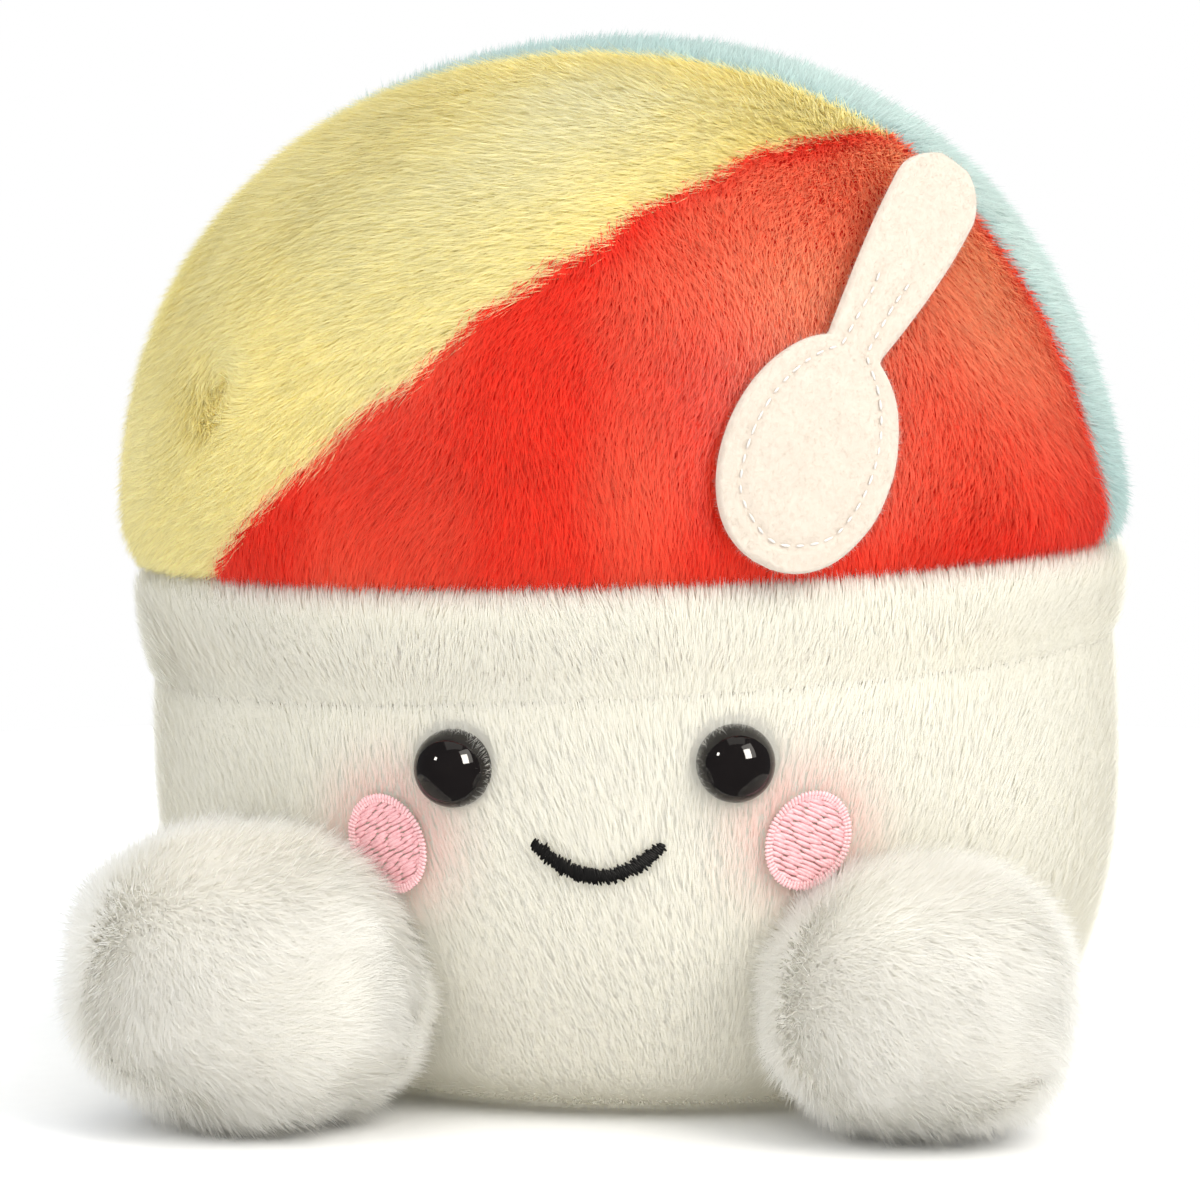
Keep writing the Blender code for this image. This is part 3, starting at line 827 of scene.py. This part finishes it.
for index, (name, (_, root, tip, lie)) in enumerate(GORES.items()):
    skin, _ = part_of(mound, name + "_skin", which == index)
    root_bed, used = part_of(mound, name + "_bed", near_gore[:, index])
    brush(root_bed, lie, swirl=0.35, seed=9 + index)
    swirl_nap(root_bed, PUCKER, PUCKER_SWIRL)
    share = np.clip(0.5 + 0.5 * depths[index][used] / SEAM_MIX, 0.0, 1.0)
    set_point_values(root_bed.data, "pile_share", share)
    spots = mound_points[used]
    set_point_values(root_bed.data, "pile_length", 0.4 + 0.6 * np.clip(rise[used] / 0.0045, 0.0, 1.0))
    # Painted sheen: each gore is lighter towards the right and the top, where the key light catches the
    # nap, faded near its seams and with wandering streaks.
    streaks = STREAKS * smooth_waves(spots, 51 + index, 0.024)
    sideways, high, seam = PAINTED_SHEEN_REACH[name]
    lit = np.clip((spots[:, 0] - sideways) / 0.046, 0.0, 1.0)
    lit *= np.clip((spots[:, 2] - high) / 0.030, 0.0, 1.0)
    lit *= np.clip(depths[index][used] / seam, 0.0, 1.0)
    set_point_values(root_bed.data, "brushed", np.clip(lit + streaks, 0.0, 1.0))
    finish = plush_finish(name.replace("ice_", "") + " plush", root, tip, 0.04, 0.15, brushed=PAINTED_SHEEN[name])
    skin.data.materials.append(finish)
    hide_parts(name)
    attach(skin, "root")
    pile = grow_pile(
        name + "_pile", root_bed, finish, follow=0.92, Density=PILE_DENSITY[name], Length=0.0027,
        Width=0.00015, Lay=1.0, Lift=0.46, Scatter=0.32, Twist=0.3, Seed=13 + index,
    )
    bpy.data.objects.remove(root_bed)
    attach(pile, "root")
bpy.data.objects.remove(mound)

# ---------------------------------------------------------------------------------------------
# The spoon: cut from cream felt a little over a millimetre thick, and sewn to the red ice round
# its bowl with a white running stitch that goes up into the handle. The handle stands free.
SPOON_BOWL_CENTRE = (0.0251, 0.0732)
BOWL_LEAN = math.radians(28.5)
HANDLE_LEAN = math.radians(37.0)
BEND_REACH = 0.0045
BOWL_LENGTH = 0.0268
BOWL_HALF_WIDTH = 0.0097
NECK_HALF_WIDTH = 0.0033
HANDLE_LENGTH = 0.0238
HANDLE_HALF_WIDTH = 0.0049
HANDLE_LIFT = 0.0050
FELT_THICKNESS = 0.0014
FELT_GAP = 0.0002
SPOON_STEPS = 150
SPOON_ACROSS = 44
SEWN_LINE_INSET = 0.0027
SEWN_ROUND = 0.0042
SEWN_DEPTH = 0.00028


def spoon_half_width(along):
    """Half the felt's width at a distance from the bowl's end."""
    if along < BOWL_LENGTH:
        egg = math.sqrt(max(0.0, 1.0 - (1.0 - 2.0 * (along / BOWL_LENGTH) ** 0.92) ** 2))
        return max(egg * BOWL_HALF_WIDTH, NECK_HALF_WIDTH * min(1.0, 4.0 * along / BOWL_LENGTH))
    share = min(1.0, (along - BOWL_LENGTH) / HANDLE_LENGTH)
    widen = math.sin(math.pi / 2.0 * min(1.0, share / 0.75))
    flare = NECK_HALF_WIDTH + (HANDLE_HALF_WIDTH - NECK_HALF_WIDTH) * widen
    end = max(0.0, (share - 0.80) / 0.20)
    return flare * max(0.12, math.sqrt(max(0.0, 1.0 - end**2)))


def ice_point(direction, height):
    """The point a given height over the ice, along a direction from the ice's own centre."""
    centre = Vector((-float(side_shift(JUNCTION_HEIGHT)), 0.0, JUNCTION_HEIGHT))
    low, high = 0.0, 2.0 * ICE_HEIGHT
    for _ in range(30):
        middle = (low + high) / 2.0
        place = centre + direction * middle
        x, y = place.x + float(side_shift(place.z)), place.y / DEPTH
        rise = max(0.0, place.z - tilted(JUNCTION_HEIGHT, JUNCTION_TILT, x, y))
        share = (math.hypot(x, y) / ICE_RADIUS) ** ICE_POWER + (rise / ICE_HEIGHT) ** ICE_POWER
        low, high = (middle, high) if share < 1.0 else (low, middle)
    return centre + direction * (low + height)


ice_centre = Vector((-float(side_shift(JUNCTION_HEIGHT)), 0.0, JUNCTION_HEIGHT))
bowl_x = SPOON_BOWL_CENTRE[0] - float(side_shift(SPOON_BOWL_CENTRE[1]))
bowl_y = -math.sqrt(ICE_RADIUS**2 - (bowl_x - ice_centre.x) ** 2) * DEPTH
spoon_out = (Vector((bowl_x, bowl_y, SPOON_BOWL_CENTRE[1])) - ice_centre).normalized()
spoon_level = Vector((0.0, 0.0, 1.0)).cross(spoon_out).normalized()
bowl_way, handle_way = (
    spoon_out.cross(spoon_level) * math.cos(lean) + spoon_level * math.sin(lean)
    for lean in (BOWL_LEAN, HANDLE_LEAN)
)


def spoon_point(along, offset, height):
    """A point on the felt: along the spoon, to its side, and up from the ice."""
    past = along - BOWL_LENGTH
    way = bowl_way.lerp(handle_way, min(1.0, max(0.0, 0.5 + past / (2.0 * BEND_REACH)))).normalized()
    flat = bowl_way * (BOWL_LENGTH / 2.0 + min(0.0, past)) + handle_way * max(0.0, past)
    flat += way.cross(spoon_out) * offset
    bend = flat.length / ICE_RADIUS
    direction = spoon_out * math.cos(bend) + flat.normalized() * math.sin(bend)
    free = max(0.0, past / HANDLE_LENGTH)
    return ice_point(direction, height + HANDLE_LIFT * free**1.6)


def sewn_line():
    """The running stitch's path over the felt: up one side of the bowl, and down the other."""
    last = BOWL_LENGTH + 0.0090
    path = []
    for step in range(61):
        along = SEWN_LINE_INSET + (last - SEWN_LINE_INSET) * (1.0 - math.cos(math.pi * step / 60.0)) / 2.0
        inset = spoon_half_width(along) - SEWN_LINE_INSET
        share = min(1.0, (along - SEWN_LINE_INSET) / SEWN_ROUND)
        path.append((along, max(inset, 0.0014) * math.sqrt(1.0 - (1.0 - share) ** 2)))
    return [(along, -offset) for along, offset in reversed(path)] + path[1:]


SEWN_PATH = np.array(sewn_line())
spoon_points = []
for step in range(SPOON_STEPS + 1):
    along = (BOWL_LENGTH + HANDLE_LENGTH) * (0.5 - 0.5 * math.cos(math.pi * step / SPOON_STEPS))
    half = max(spoon_half_width(along), 0.0012)
    for index in range(SPOON_ACROSS + 1):
        offset = half * math.sin(math.pi * (index / SPOON_ACROSS - 0.5))
        spoon_points.append((along, offset, half))
spoon_flat = np.array(spoon_points)
reach = np.min(
    np.linalg.norm(spoon_flat[:, None, :2] - SEWN_PATH[None, :, :], axis=2), axis=1
)
spoon_edge = np.minimum(spoon_flat[:, 2] - np.abs(spoon_flat[:, 1]), spoon_flat[:, 0])
spoon_edge = np.minimum(spoon_edge, BOWL_LENGTH + HANDLE_LENGTH - spoon_flat[:, 0])
rounding = np.clip(1.0 - spoon_edge / 0.0007, 0.0, 1.0) ** 2
felt_waves = smooth_waves(np.column_stack([spoon_flat[:, :2], 0.0 * spoon_edge]), 83, 0.006)
groove = SEWN_DEPTH * np.exp(-((reach / 0.00055) ** 2))
over = FELT_GAP + FELT_THICKNESS * (1.0 - 0.45 * rounding) - groove + felt_waves * 0.00006
under = FELT_GAP + FELT_THICKNESS * 0.40 * rounding
felt_verts = [spoon_point(a, o, h) for (a, o, _), h in zip(spoon_flat, over)]
felt_verts += [spoon_point(a, o, h) for (a, o, _), h in zip(spoon_flat, under)]
row = SPOON_ACROSS + 1
layer = len(spoon_flat)
felt_faces = []
for step in range(SPOON_STEPS):
    for index in range(SPOON_ACROSS):
        a = step * row + index
        felt_faces.append((a, a + 1, a + row + 1, a + row))
        felt_faces.append((a + layer, a + layer + row, a + layer + row + 1, a + layer + 1))
border = [index for index in range(row)]
border += [step * row + SPOON_ACROSS for step in range(1, SPOON_STEPS + 1)]
border += [SPOON_STEPS * row + index for index in range(SPOON_ACROSS - 1, -1, -1)]
border += [step * row for step in range(SPOON_STEPS - 1, 0, -1)]
for first, second in zip(border, border[1:] + border[:1]):
    felt_faces.append((second, first, first + layer, second + layer))
felt_mesh = bpy.data.meshes.new("spoon_felt")
felt_mesh.from_pydata([tuple(point) for point in felt_verts], [], felt_faces)
bm = bmesh.new()
bm.from_mesh(felt_mesh)
bmesh.ops.recalc_face_normals(bm, faces=bm.faces)
bm.to_mesh(felt_mesh)
bm.free()
felt_mesh.shade_smooth()
felt = link_mesh("spoon_felt", felt_mesh)


def felt_finish(name, low, high):
    """Wool felt: matted fibres, in a mottled cream with a fine uneven surface."""
    material, tree, shader = shader_of(name)
    nodes, links = tree.nodes, tree.links
    place = nodes.new("ShaderNodeTexCoord")
    mat = nodes.new("ShaderNodeTexNoise")
    mat.inputs["Scale"].default_value = 900.0
    mat.inputs["Detail"].default_value = 4.0
    blend = nodes.new("ShaderNodeMix")
    blend.data_type = "RGBA"
    blend.inputs["A"].default_value = (*low, 1.0)
    blend.inputs["B"].default_value = (*high, 1.0)
    bump = nodes.new("ShaderNodeBump")
    bump.inputs["Strength"].default_value = 0.35
    bump.inputs["Distance"].default_value = 0.0003
    links.new(place.outputs["Object"], mat.inputs["Vector"])
    links.new(mat.outputs["Fac"], blend.inputs["Factor"])
    links.new(mat.outputs["Fac"], bump.inputs["Height"])
    links.new(blend.outputs["Result"], shader.inputs["Base Color"])
    links.new(bump.outputs["Normal"], shader.inputs["Normal"])
    shader.inputs["Roughness"].default_value = 0.95
    shader.inputs["Specular IOR Level"].default_value = 0.15
    shader.inputs["Sheen Weight"].default_value = 0.3
    return material


cream = felt_finish("cream felt", (0.58, 0.505, 0.43), (0.68, 0.605, 0.52))
felt_mesh.materials.append(cream)
set_point_values(felt_mesh, "nap", np.tile((0.0, 0.0, 1e-4), (len(felt_verts), 1)))
set_point_values(felt_mesh, "pile_length", np.ones(len(felt_verts)))
set_point_values(felt_mesh, "pile_share", np.ones(len(felt_verts)))
# The darker root colour is painted shade deep in the fuzz.
felt_fuzz_finish = plush_finish("cream fuzz", (0.64, 0.57, 0.49), (0.72, 0.65, 0.56), 0.02, 0.06)
fuzz = grow_pile(
    "spoon_fuzz", felt, felt_fuzz_finish, follow=0.9, Density=2.8e7, Length=0.0007,
    Width=0.00003, Lay=1.0, Lift=0.28, Scatter=1.0, Twist=0.3, Seed=91,
)
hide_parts("spoon")
for piece in (felt, fuzz):
    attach(piece, "root")

# ---------------------------------------------------------------------------------------------
# Two feet: round stuffed pads of a longer, fluffier white plush, sewn to the cup's front and
# pressed flat where the toy sits on them.
FEET = {
    "foot_left": ((-0.0391, -0.0470, 0.0158), (0.0205, 0.0180, 0.0178), (-0.80, 0.60, 0.25)),
    "foot_right": ((0.0326, -0.0475, 0.0152), (0.0180, 0.0172, 0.0164), (-0.80, 0.60, 0.25)),
}
FOOT_POWER = 2.25
FOOT_INSET = 0.0026
FOOT_LUMPS = 0.00035
SOLE_PILE = 0.25
# The root colour is darker than the tip colour as painted shade of the deep pile.
fluffy = plush_finish(
    "white fluff", (0.980, 0.968, 0.925), (1.0, 0.992, 0.962), patch=0.01, fleck=0.02, through_share=0.6
)
for seed, (name, (centre, size, crown)) in enumerate(FEET.items()):
    bm = bmesh.new()
    bmesh.ops.create_uvsphere(bm, u_segments=72, v_segments=48, radius=1.0)
    for vert in bm.verts:
        spread = sum(abs(value) ** FOOT_POWER for value in vert.co) ** (1.0 / FOOT_POWER)
        scaled = [value / spread * (reach - FOOT_INSET) for value, reach in zip(vert.co, size)]
        vert.co = Vector(centre) + Vector(scaled)
        vert.co.z = max(vert.co.z, 0.0009)
    mesh = bpy.data.meshes.new(name + "_skin")
    bm.to_mesh(mesh)
    bm.free()
    mesh.shade_smooth()
    skin = link_mesh(name + "_skin", mesh)
    flat_sole = points_of(mesh)[:, 2] < 0.0015
    against_cup = points_of(mesh)[:, 1] > centre[1] + 0.5 * size[1]
    puff(skin, flat_sole | against_cup, cap=0.0009)
    foot_points = points_of(mesh)
    lumps = smooth_waves(foot_points, 25 + seed, 0.013)[:, None] * FOOT_LUMPS
    foot_points += np.where(flat_sole[:, None], 0.0, lumps) * normals_of(mesh)
    mesh.vertices.foreach_set("co", foot_points.astype(np.float32).ravel())
    from_crown = foot_points - np.array(centre) - np.array(crown) * size[0]
    brush(skin, from_crown, swirl=0.55, seed=21 + seed)
    tufts = 1.0 + 0.16 * smooth_waves(foot_points, 27 + seed, 0.006)
    tufts[flat_sole] = SOLE_PILE
    set_point_values(mesh, "pile_length", np.clip(tufts, SOLE_PILE, 1.3))
    mesh.materials.append(fluffy)
    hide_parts(name)
    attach(skin, "root")
    pile = grow_pile(
        name + "_pile", skin, fluffy, follow=0.95, Density=3.2e7, Length=0.0038, Width=0.00014,
        Lay=1.0, Lift=0.60, Scatter=0.48, Twist=0.3, Seed=31 + seed,
    )
    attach(pile, "root")

# ---------------------------------------------------------------------------------------------
# The eyes: two glossy black plastic beads, pressed through the plush and locked from behind, so
# that the pile round them laps over their edges.
EYES = {"eye_left": (-16.0, 0.0393), "eye_right": (15.4, 0.0402)}
EYE_RADIUS = 0.0042
EYE_SINK = 0.0009
bead_finish, bead_tree, bead_shader = shader_of("black bead")
bead_place = bead_tree.nodes.new("ShaderNodeTexCoord")
bead_cloud = bead_tree.nodes.new("ShaderNodeTexNoise")
bead_cloud.inputs["Scale"].default_value = 300.0
bead_dark = bead_tree.nodes.new("ShaderNodeMix")
bead_dark.data_type = "RGBA"
bead_dark.inputs["A"].default_value = (0.0055, 0.0045, 0.0045, 1.0)
bead_dark.inputs["B"].default_value = (0.010, 0.008, 0.008, 1.0)
bead_tree.links.new(bead_place.outputs["Object"], bead_cloud.inputs["Vector"])
bead_tree.links.new(bead_cloud.outputs["Fac"], bead_dark.inputs["Factor"])
bead_tree.links.new(bead_dark.outputs["Result"], bead_shader.inputs["Base Color"])
bead_shader.inputs["Roughness"].default_value = 0.05
bead_shader.inputs["Specular IOR Level"].default_value = 0.30
beads = []
for name, (turn, height) in EYES.items():
    outward, side, up = wall_frame(math.radians(turn), height)
    middle = wall_point(math.radians(turn), height, -EYE_SINK)
    matrix = Matrix((side, up, outward)).transposed().to_4x4()
    matrix.translation = middle
    bm = bmesh.new()
    bmesh.ops.create_uvsphere(bm, u_segments=64, v_segments=32, radius=EYE_RADIUS, matrix=matrix)
    mesh = bpy.data.meshes.new(name + "_bead")
    bm.to_mesh(mesh)
    bm.free()
    mesh.shade_smooth()
    mesh.materials.append(bead_finish)
    bead = link_mesh(name + "_bead", mesh)
    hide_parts(name)
    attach(bead, "root")
    beads.append(bead)


# ---------------------------------------------------------------------------------------------
# The smile: an arc of black satin stitch, worked through the plush with rayon thread. Each
# stitch lies across the arc, and their ends are a little uneven.
def stitch_tree():
    """One stitch of thread for each point, along its own run."""
    tree = bpy.data.node_groups.new("stitches", "GeometryNodeTree")
    made = {}
    for name, kind in (
        ("Marks", "NodeSocketGeometry"),
        ("Thickness", "NodeSocketFloat"),
        ("Finish", "NodeSocketMaterial"),
    ):
        made[name] = tree.interface.new_socket(name=name, in_out="INPUT", socket_type=kind)
    tree.interface.new_socket(name="Stitches", in_out="OUTPUT", socket_type="NodeSocketGeometry")
    nodes, links = tree.nodes, tree.links
    given = nodes.new("NodeGroupInput").outputs
    marks = nodes.new("GeometryNodeMeshToPoints")
    links.new(given["Marks"], marks.inputs["Mesh"])
    read = {}
    for name in ("run", "outward"):
        read[name] = nodes.new("GeometryNodeInputNamedAttribute")
        read[name].data_type = "FLOAT_VECTOR"
        read[name].inputs["Name"].default_value = name
    long = nodes.new("ShaderNodeVectorMath")
    long.operation = "LENGTH"
    links.new(read["run"].outputs["Attribute"], long.inputs[0])
    turned = nodes.new("FunctionNodeAxesToRotation")
    turned.primary_axis, turned.secondary_axis = "Z", "X"
    links.new(read["run"].outputs["Attribute"], turned.inputs[0])
    links.new(read["outward"].outputs["Attribute"], turned.inputs[1])
    thread = nodes.new("GeometryNodeMeshUVSphere")
    thread.inputs["Segments"].default_value = 8
    thread.inputs["Rings"].default_value = 8
    thread.inputs["Radius"].default_value = 0.5
    smooth = nodes.new("GeometryNodeSetShadeSmooth")
    links.new(thread.outputs["Mesh"], smooth.inputs["Geometry"])
    size = nodes.new("ShaderNodeCombineXYZ")
    links.new(given["Thickness"], size.inputs["X"])
    links.new(given["Thickness"], size.inputs["Y"])
    links.new(long.outputs["Value"], size.inputs["Z"])
    placed = nodes.new("GeometryNodeInstanceOnPoints")
    links.new(marks.outputs["Points"], placed.inputs["Points"])
    links.new(smooth.outputs[0], placed.inputs["Instance"])
    links.new(turned.outputs[0], placed.inputs["Rotation"])
    links.new(size.outputs[0], placed.inputs["Scale"])
    real = nodes.new("GeometryNodeRealizeInstances")
    links.new(placed.outputs[0], real.inputs[0])
    done = nodes.new("GeometryNodeSetMaterial")
    links.new(real.outputs[0], done.inputs["Geometry"])
    links.new(given["Finish"], done.inputs["Material"])
    links.new(done.outputs[0], nodes.new("NodeGroupOutput").inputs[0])
    return tree, made


STITCHES, STITCH_INPUTS = stitch_tree()


def sew(name, marks, thickness, finish):
    """Stitches as a plain mesh piece, from marks of middle, run and outward vectors."""
    middles, runs, outs = (np.array([mark[key] for mark in marks]) for key in range(3))
    mesh = bpy.data.meshes.new(name + "_marks")
    mesh.from_pydata(middles.tolist(), [], [])
    set_point_values(mesh, "run", runs)
    set_point_values(mesh, "outward", outs)
    host = link_mesh(name + "_marks", mesh)
    modifier = host.modifiers.new("stitches", "NODES")
    modifier.node_group = STITCHES
    modifier[STITCH_INPUTS["Thickness"].identifier] = thickness
    modifier[STITCH_INPUTS["Finish"].identifier] = finish
    graph = bpy.context.evaluated_depsgraph_get()
    sewn = bpy.data.meshes.new_from_object(host.evaluated_get(graph))
    sewn.name = name
    bpy.data.objects.remove(host)
    return link_mesh(name, sewn)


def thread_finish(name, dark, light, gloss=0.4):
    """Rayon thread: fine twisted strands that catch the light, with a soft gloss."""
    material, tree, shader = shader_of(name)
    nodes, links = tree.nodes, tree.links
    place = nodes.new("ShaderNodeTexCoord")
    strands = nodes.new("ShaderNodeTexNoise")
    strands.inputs["Scale"].default_value = 2200.0
    blend = nodes.new("ShaderNodeMix")
    blend.data_type = "RGBA"
    blend.inputs["A"].default_value = (*dark, 1.0)
    blend.inputs["B"].default_value = (*light, 1.0)
    links.new(place.outputs["Object"], strands.inputs["Vector"])
    links.new(strands.outputs["Fac"], blend.inputs["Factor"])
    links.new(blend.outputs["Result"], shader.inputs["Base Color"])
    shader.inputs["Roughness"].default_value = 0.5
    shader.inputs["Specular IOR Level"].default_value = gloss
    return material


SMILE_HALF_TURN = math.radians(7.0)
SMILE_DIP = 0.0034
SMILE_END = 0.0317
SMILE_STITCHES = 76
SMILE_WIDTH = 0.00150
SMILE_DEPTH = 0.0002
chance = np.random.default_rng(61)
smile_marks = []
for layer in range(2):
    for index in range(SMILE_STITCHES):
        along = 2.0 * (index + 0.5 * layer) / (SMILE_STITCHES - 0.5) - 1.0
        turn = SMILE_HALF_TURN * along
        z = SMILE_END - SMILE_DIP * (1.0 - along**2)
        outward, side, up = wall_frame(turn, z)
        slope = math.atan2(2.0 * SMILE_DIP * along, SMILE_HALF_TURN * WALL_RADIUS)
        slope += 0.25 + chance.normal(0.0, 0.10)
        across = up * math.cos(slope) - side * math.sin(slope)
        taper = 1.0 - 0.35 * abs(along) ** 6
        length = SMILE_WIDTH * taper * chance.uniform(0.75, 1.40)
        middle = wall_point(turn, z, -SMILE_DEPTH - 0.0001 * layer)
        middle = middle + across * chance.normal(0.0, 0.00010)
        smile_marks.append((middle, across * length, outward))
black_thread = thread_finish("black thread", (0.0025, 0.0025, 0.0025), (0.012, 0.011, 0.011), gloss=0.12)
smile = sew("smile_stitches", smile_marks, 0.00036, black_thread)
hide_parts("smile")
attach(smile, "root")

# ---------------------------------------------------------------------------------------------
# The spoon's sewing: a white running stitch, each stitch pulled a little into the felt.
DASH_PITCH = 0.00165
DASH_LENGTH = 0.00112
DASH_THICKNESS = 0.00030
white_thread = thread_finish("white thread", (0.60, 0.57, 0.53), (0.80, 0.78, 0.75))
chance = np.random.default_rng(67)
lengths = np.concatenate([[0.0], np.cumsum(np.linalg.norm(np.diff(SEWN_PATH, axis=0), axis=1))])
dash_marks = []
for middle_at in np.arange(DASH_PITCH, lengths[-1], DASH_PITCH):
    ends = []
    half = DASH_LENGTH * chance.uniform(0.35, 0.58)
    for reach in (middle_at - half, middle_at + half):
        along = np.interp(reach, lengths, SEWN_PATH[:, 0])
        offset = np.interp(reach, lengths, SEWN_PATH[:, 1])
        ends.append(spoon_point(along, offset, FELT_GAP + FELT_THICKNESS - SEWN_DEPTH * 0.35))
    outward = (ends[0] - ice_centre).normalized()
    dash_marks.append(((ends[0] + ends[1]) / 2.0, ends[1] - ends[0], outward))
dashes = sew("spoon_stitches", dash_marks, DASH_THICKNESS, white_thread)
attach(dashes, "root")

# ---------------------------------------------------------------------------------------------
# The cheeks: two ovals of pink embroidery, rows of short running stitches inside a raised
# satin border. The feet stand in front of their lower halves.
CHEEKS = {"cheek_left": (-24.2, 0.0308, 22.0), "cheek_right": (23.2, 0.0318, -32.0)}
CHEEK_HALF_WIDTH = 0.0044
CHEEK_HALF_HEIGHT = 0.0052
CHEEK_ROW = 0.00046
CHEEK_DEPTH = 0.0004
pink_thread = thread_finish("pink thread", (0.66, 0.27, 0.30), (0.96, 0.60, 0.62))
pale_thread = thread_finish("pale pink thread", (0.76, 0.37, 0.40), (0.96, 0.65, 0.66))
cheek_pieces = []
for seed, (name, (turn, height, lean)) in enumerate(CHEEKS.items()):
    chance = np.random.default_rng(71 + seed)
    outward, side, up = wall_frame(math.radians(turn), height)
    middle = wall_point(math.radians(turn), height)
    lean = math.radians(lean)

    def cheek_point(u, v, out):
        across, high = u * math.cos(lean) - v * math.sin(lean), u * math.sin(lean) + v * math.cos(lean)
        near = middle + side * across + up * high
        heading = math.atan2(near.x + float(side_shift(near.z)), -near.y / DEPTH)
        return wall_point(heading, near.z, out)

    fill, border = [], []
    rows = int(2.0 * (CHEEK_HALF_HEIGHT - 0.0006) / CHEEK_ROW)
    for row in range(rows):
        v = -CHEEK_HALF_HEIGHT + 0.0008 + row * CHEEK_ROW
        reach = CHEEK_HALF_WIDTH * math.sqrt(max(0.0, 1.0 - (v / CHEEK_HALF_HEIGHT) ** 2)) - 0.0004
        u = -reach - chance.uniform(0.0, 0.0012)
        while u < reach:
            step = chance.uniform(0.0015, 0.0026)
            low, high = max(u, -reach), min(u + step, reach)
            if high - low > 0.0004:
                wave = 0.00012 * math.sin(900.0 * low + row)
                start = cheek_point(low, v + wave, -CHEEK_DEPTH)
                stop = cheek_point(high, v + wave + 0.0002, -CHEEK_DEPTH)
                fill.append(((start + stop) / 2.0, (stop - start) * 1.18, outward))
            u += step
    around = 74
    for index in range(around):
        angle = 2.0 * math.pi * index / around
        for share, depth in ((1.0, 0.0001), (0.93, 0.0002)):
            u, v = math.cos(angle) * CHEEK_HALF_WIDTH * share, math.sin(angle) * CHEEK_HALF_HEIGHT * share
            inside = cheek_point(u * 0.93, v * 0.93, -depth)
            outside = cheek_point(u * 1.05, v * 1.05, -depth)
            twist = cheek_point(u - 0.0002 * math.sin(angle), v + 0.0002 * math.cos(angle), -depth)
            run = (outside - inside) * chance.uniform(1.0, 1.25)
            border.append((twist, run, outward))
    cheek = sew(name + "_fill", fill, 0.00058, pink_thread)
    edge = sew(name + "_border", border, 0.00042, pale_thread)
    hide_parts(name)
    for piece in (cheek, edge):
        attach(piece, "root")
    cheek_pieces += [cheek, edge]

# ---------------------------------------------------------------------------------------------
# The cup's pile, trimmed away under the embroidery and parted by the beads. A ring of short hairs
# round each bead is caught under it and laps over its edge.
WISP_SIDES = 48
WISP_IN = 0.0041
WISP_OUT = 0.0047
for seed, (name, (turn, height)) in enumerate(EYES.items()):
    outward, side, up = wall_frame(math.radians(turn), height)
    middle = wall_point(math.radians(turn), height, -0.0003)
    verts = []
    for index in range(WISP_SIDES):
        angle = 2.0 * math.pi * index / WISP_SIDES
        spoke = side * math.cos(angle) + up * math.sin(angle)
        verts += [middle + spoke * WISP_IN, middle + spoke * WISP_OUT]
    faces = []
    for index in range(WISP_SIDES):
        a, b = 2 * index, 2 * ((index + 1) % WISP_SIDES)
        faces.append((a, a + 1, b + 1, b))
    ring_mesh = bpy.data.meshes.new(name + "_ring")
    ring_mesh.from_pydata([tuple(vert) for vert in verts], [], faces)
    ring_bed = link_mesh(name + "_ring", ring_mesh)
    brush(ring_bed, np.array(middle) - points_of(ring_mesh), swirl=0.6, seed=57 + seed)
    wisps = grow_pile(
        name + "_wisps", ring_bed, ivory, follow=0.9, Density=1.6e7, Length=0.0019, Width=0.00004,
        Lay=0.55, Lift=1.0, Scatter=0.45, Twist=0.5, Seed=59 + seed,
    )
    bpy.data.objects.remove(ring_bed)
    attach(wisps, "root")

bare_mesh = bmesh.new()
for piece in beads + [smile] + cheek_pieces:
    bare_mesh.from_mesh(piece.data)
bare_patch = bpy.data.meshes.new("bare_patch")
bare_mesh.to_mesh(bare_patch)
bare_mesh.free()
bare = link_mesh("bare_patch", bare_patch)
CREASE_LAP = 0.0022
BLUSH_REACH = 0.0078
BLUSH_LEVEL = 0.55
cup_points = points_of(cup_bed.data)
blush = np.zeros(len(cup_points))
for turn, height, _ in CHEEKS.values():
    middle = np.array(wall_point(math.radians(turn), height, -CUP_INSET))
    distance = np.linalg.norm(cup_points - middle, axis=1)
    blush += BLUSH_LEVEL * np.exp(-((distance / BLUSH_REACH) ** 3))
set_point_values(cup_bed.data, "brushed", blush)
cup_x, cup_y, cup_z = cup_points.T
under_crease = tilted(CREASE_HEIGHT, CREASE_TILT, cup_x, cup_y / DEPTH) - cup_z
near_crease = np.exp(-((under_crease / CREASE_LAP) ** 2))
set_point_values(cup_bed.data, "pile_length", 1.0 - 0.3 * near_crease)
set_point_values(cup_bed.data, "pile_share", 1.0 + CREASE_CROWD * near_crease)
cup_pile = grow_pile(
    "cup_pile", cup_bed, ivory, bare=bare, follow=0.95, Clearance=0.0007, Density=1.0e7,
    Length=CUP_PILE, Width=0.00019, Lay=1.0, Lift=0.34, Scatter=0.16, Twist=0.2, Seed=51,
)
bpy.data.objects.remove(bare)
bpy.data.objects.remove(cup_bed)
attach(cup_pile, "root")
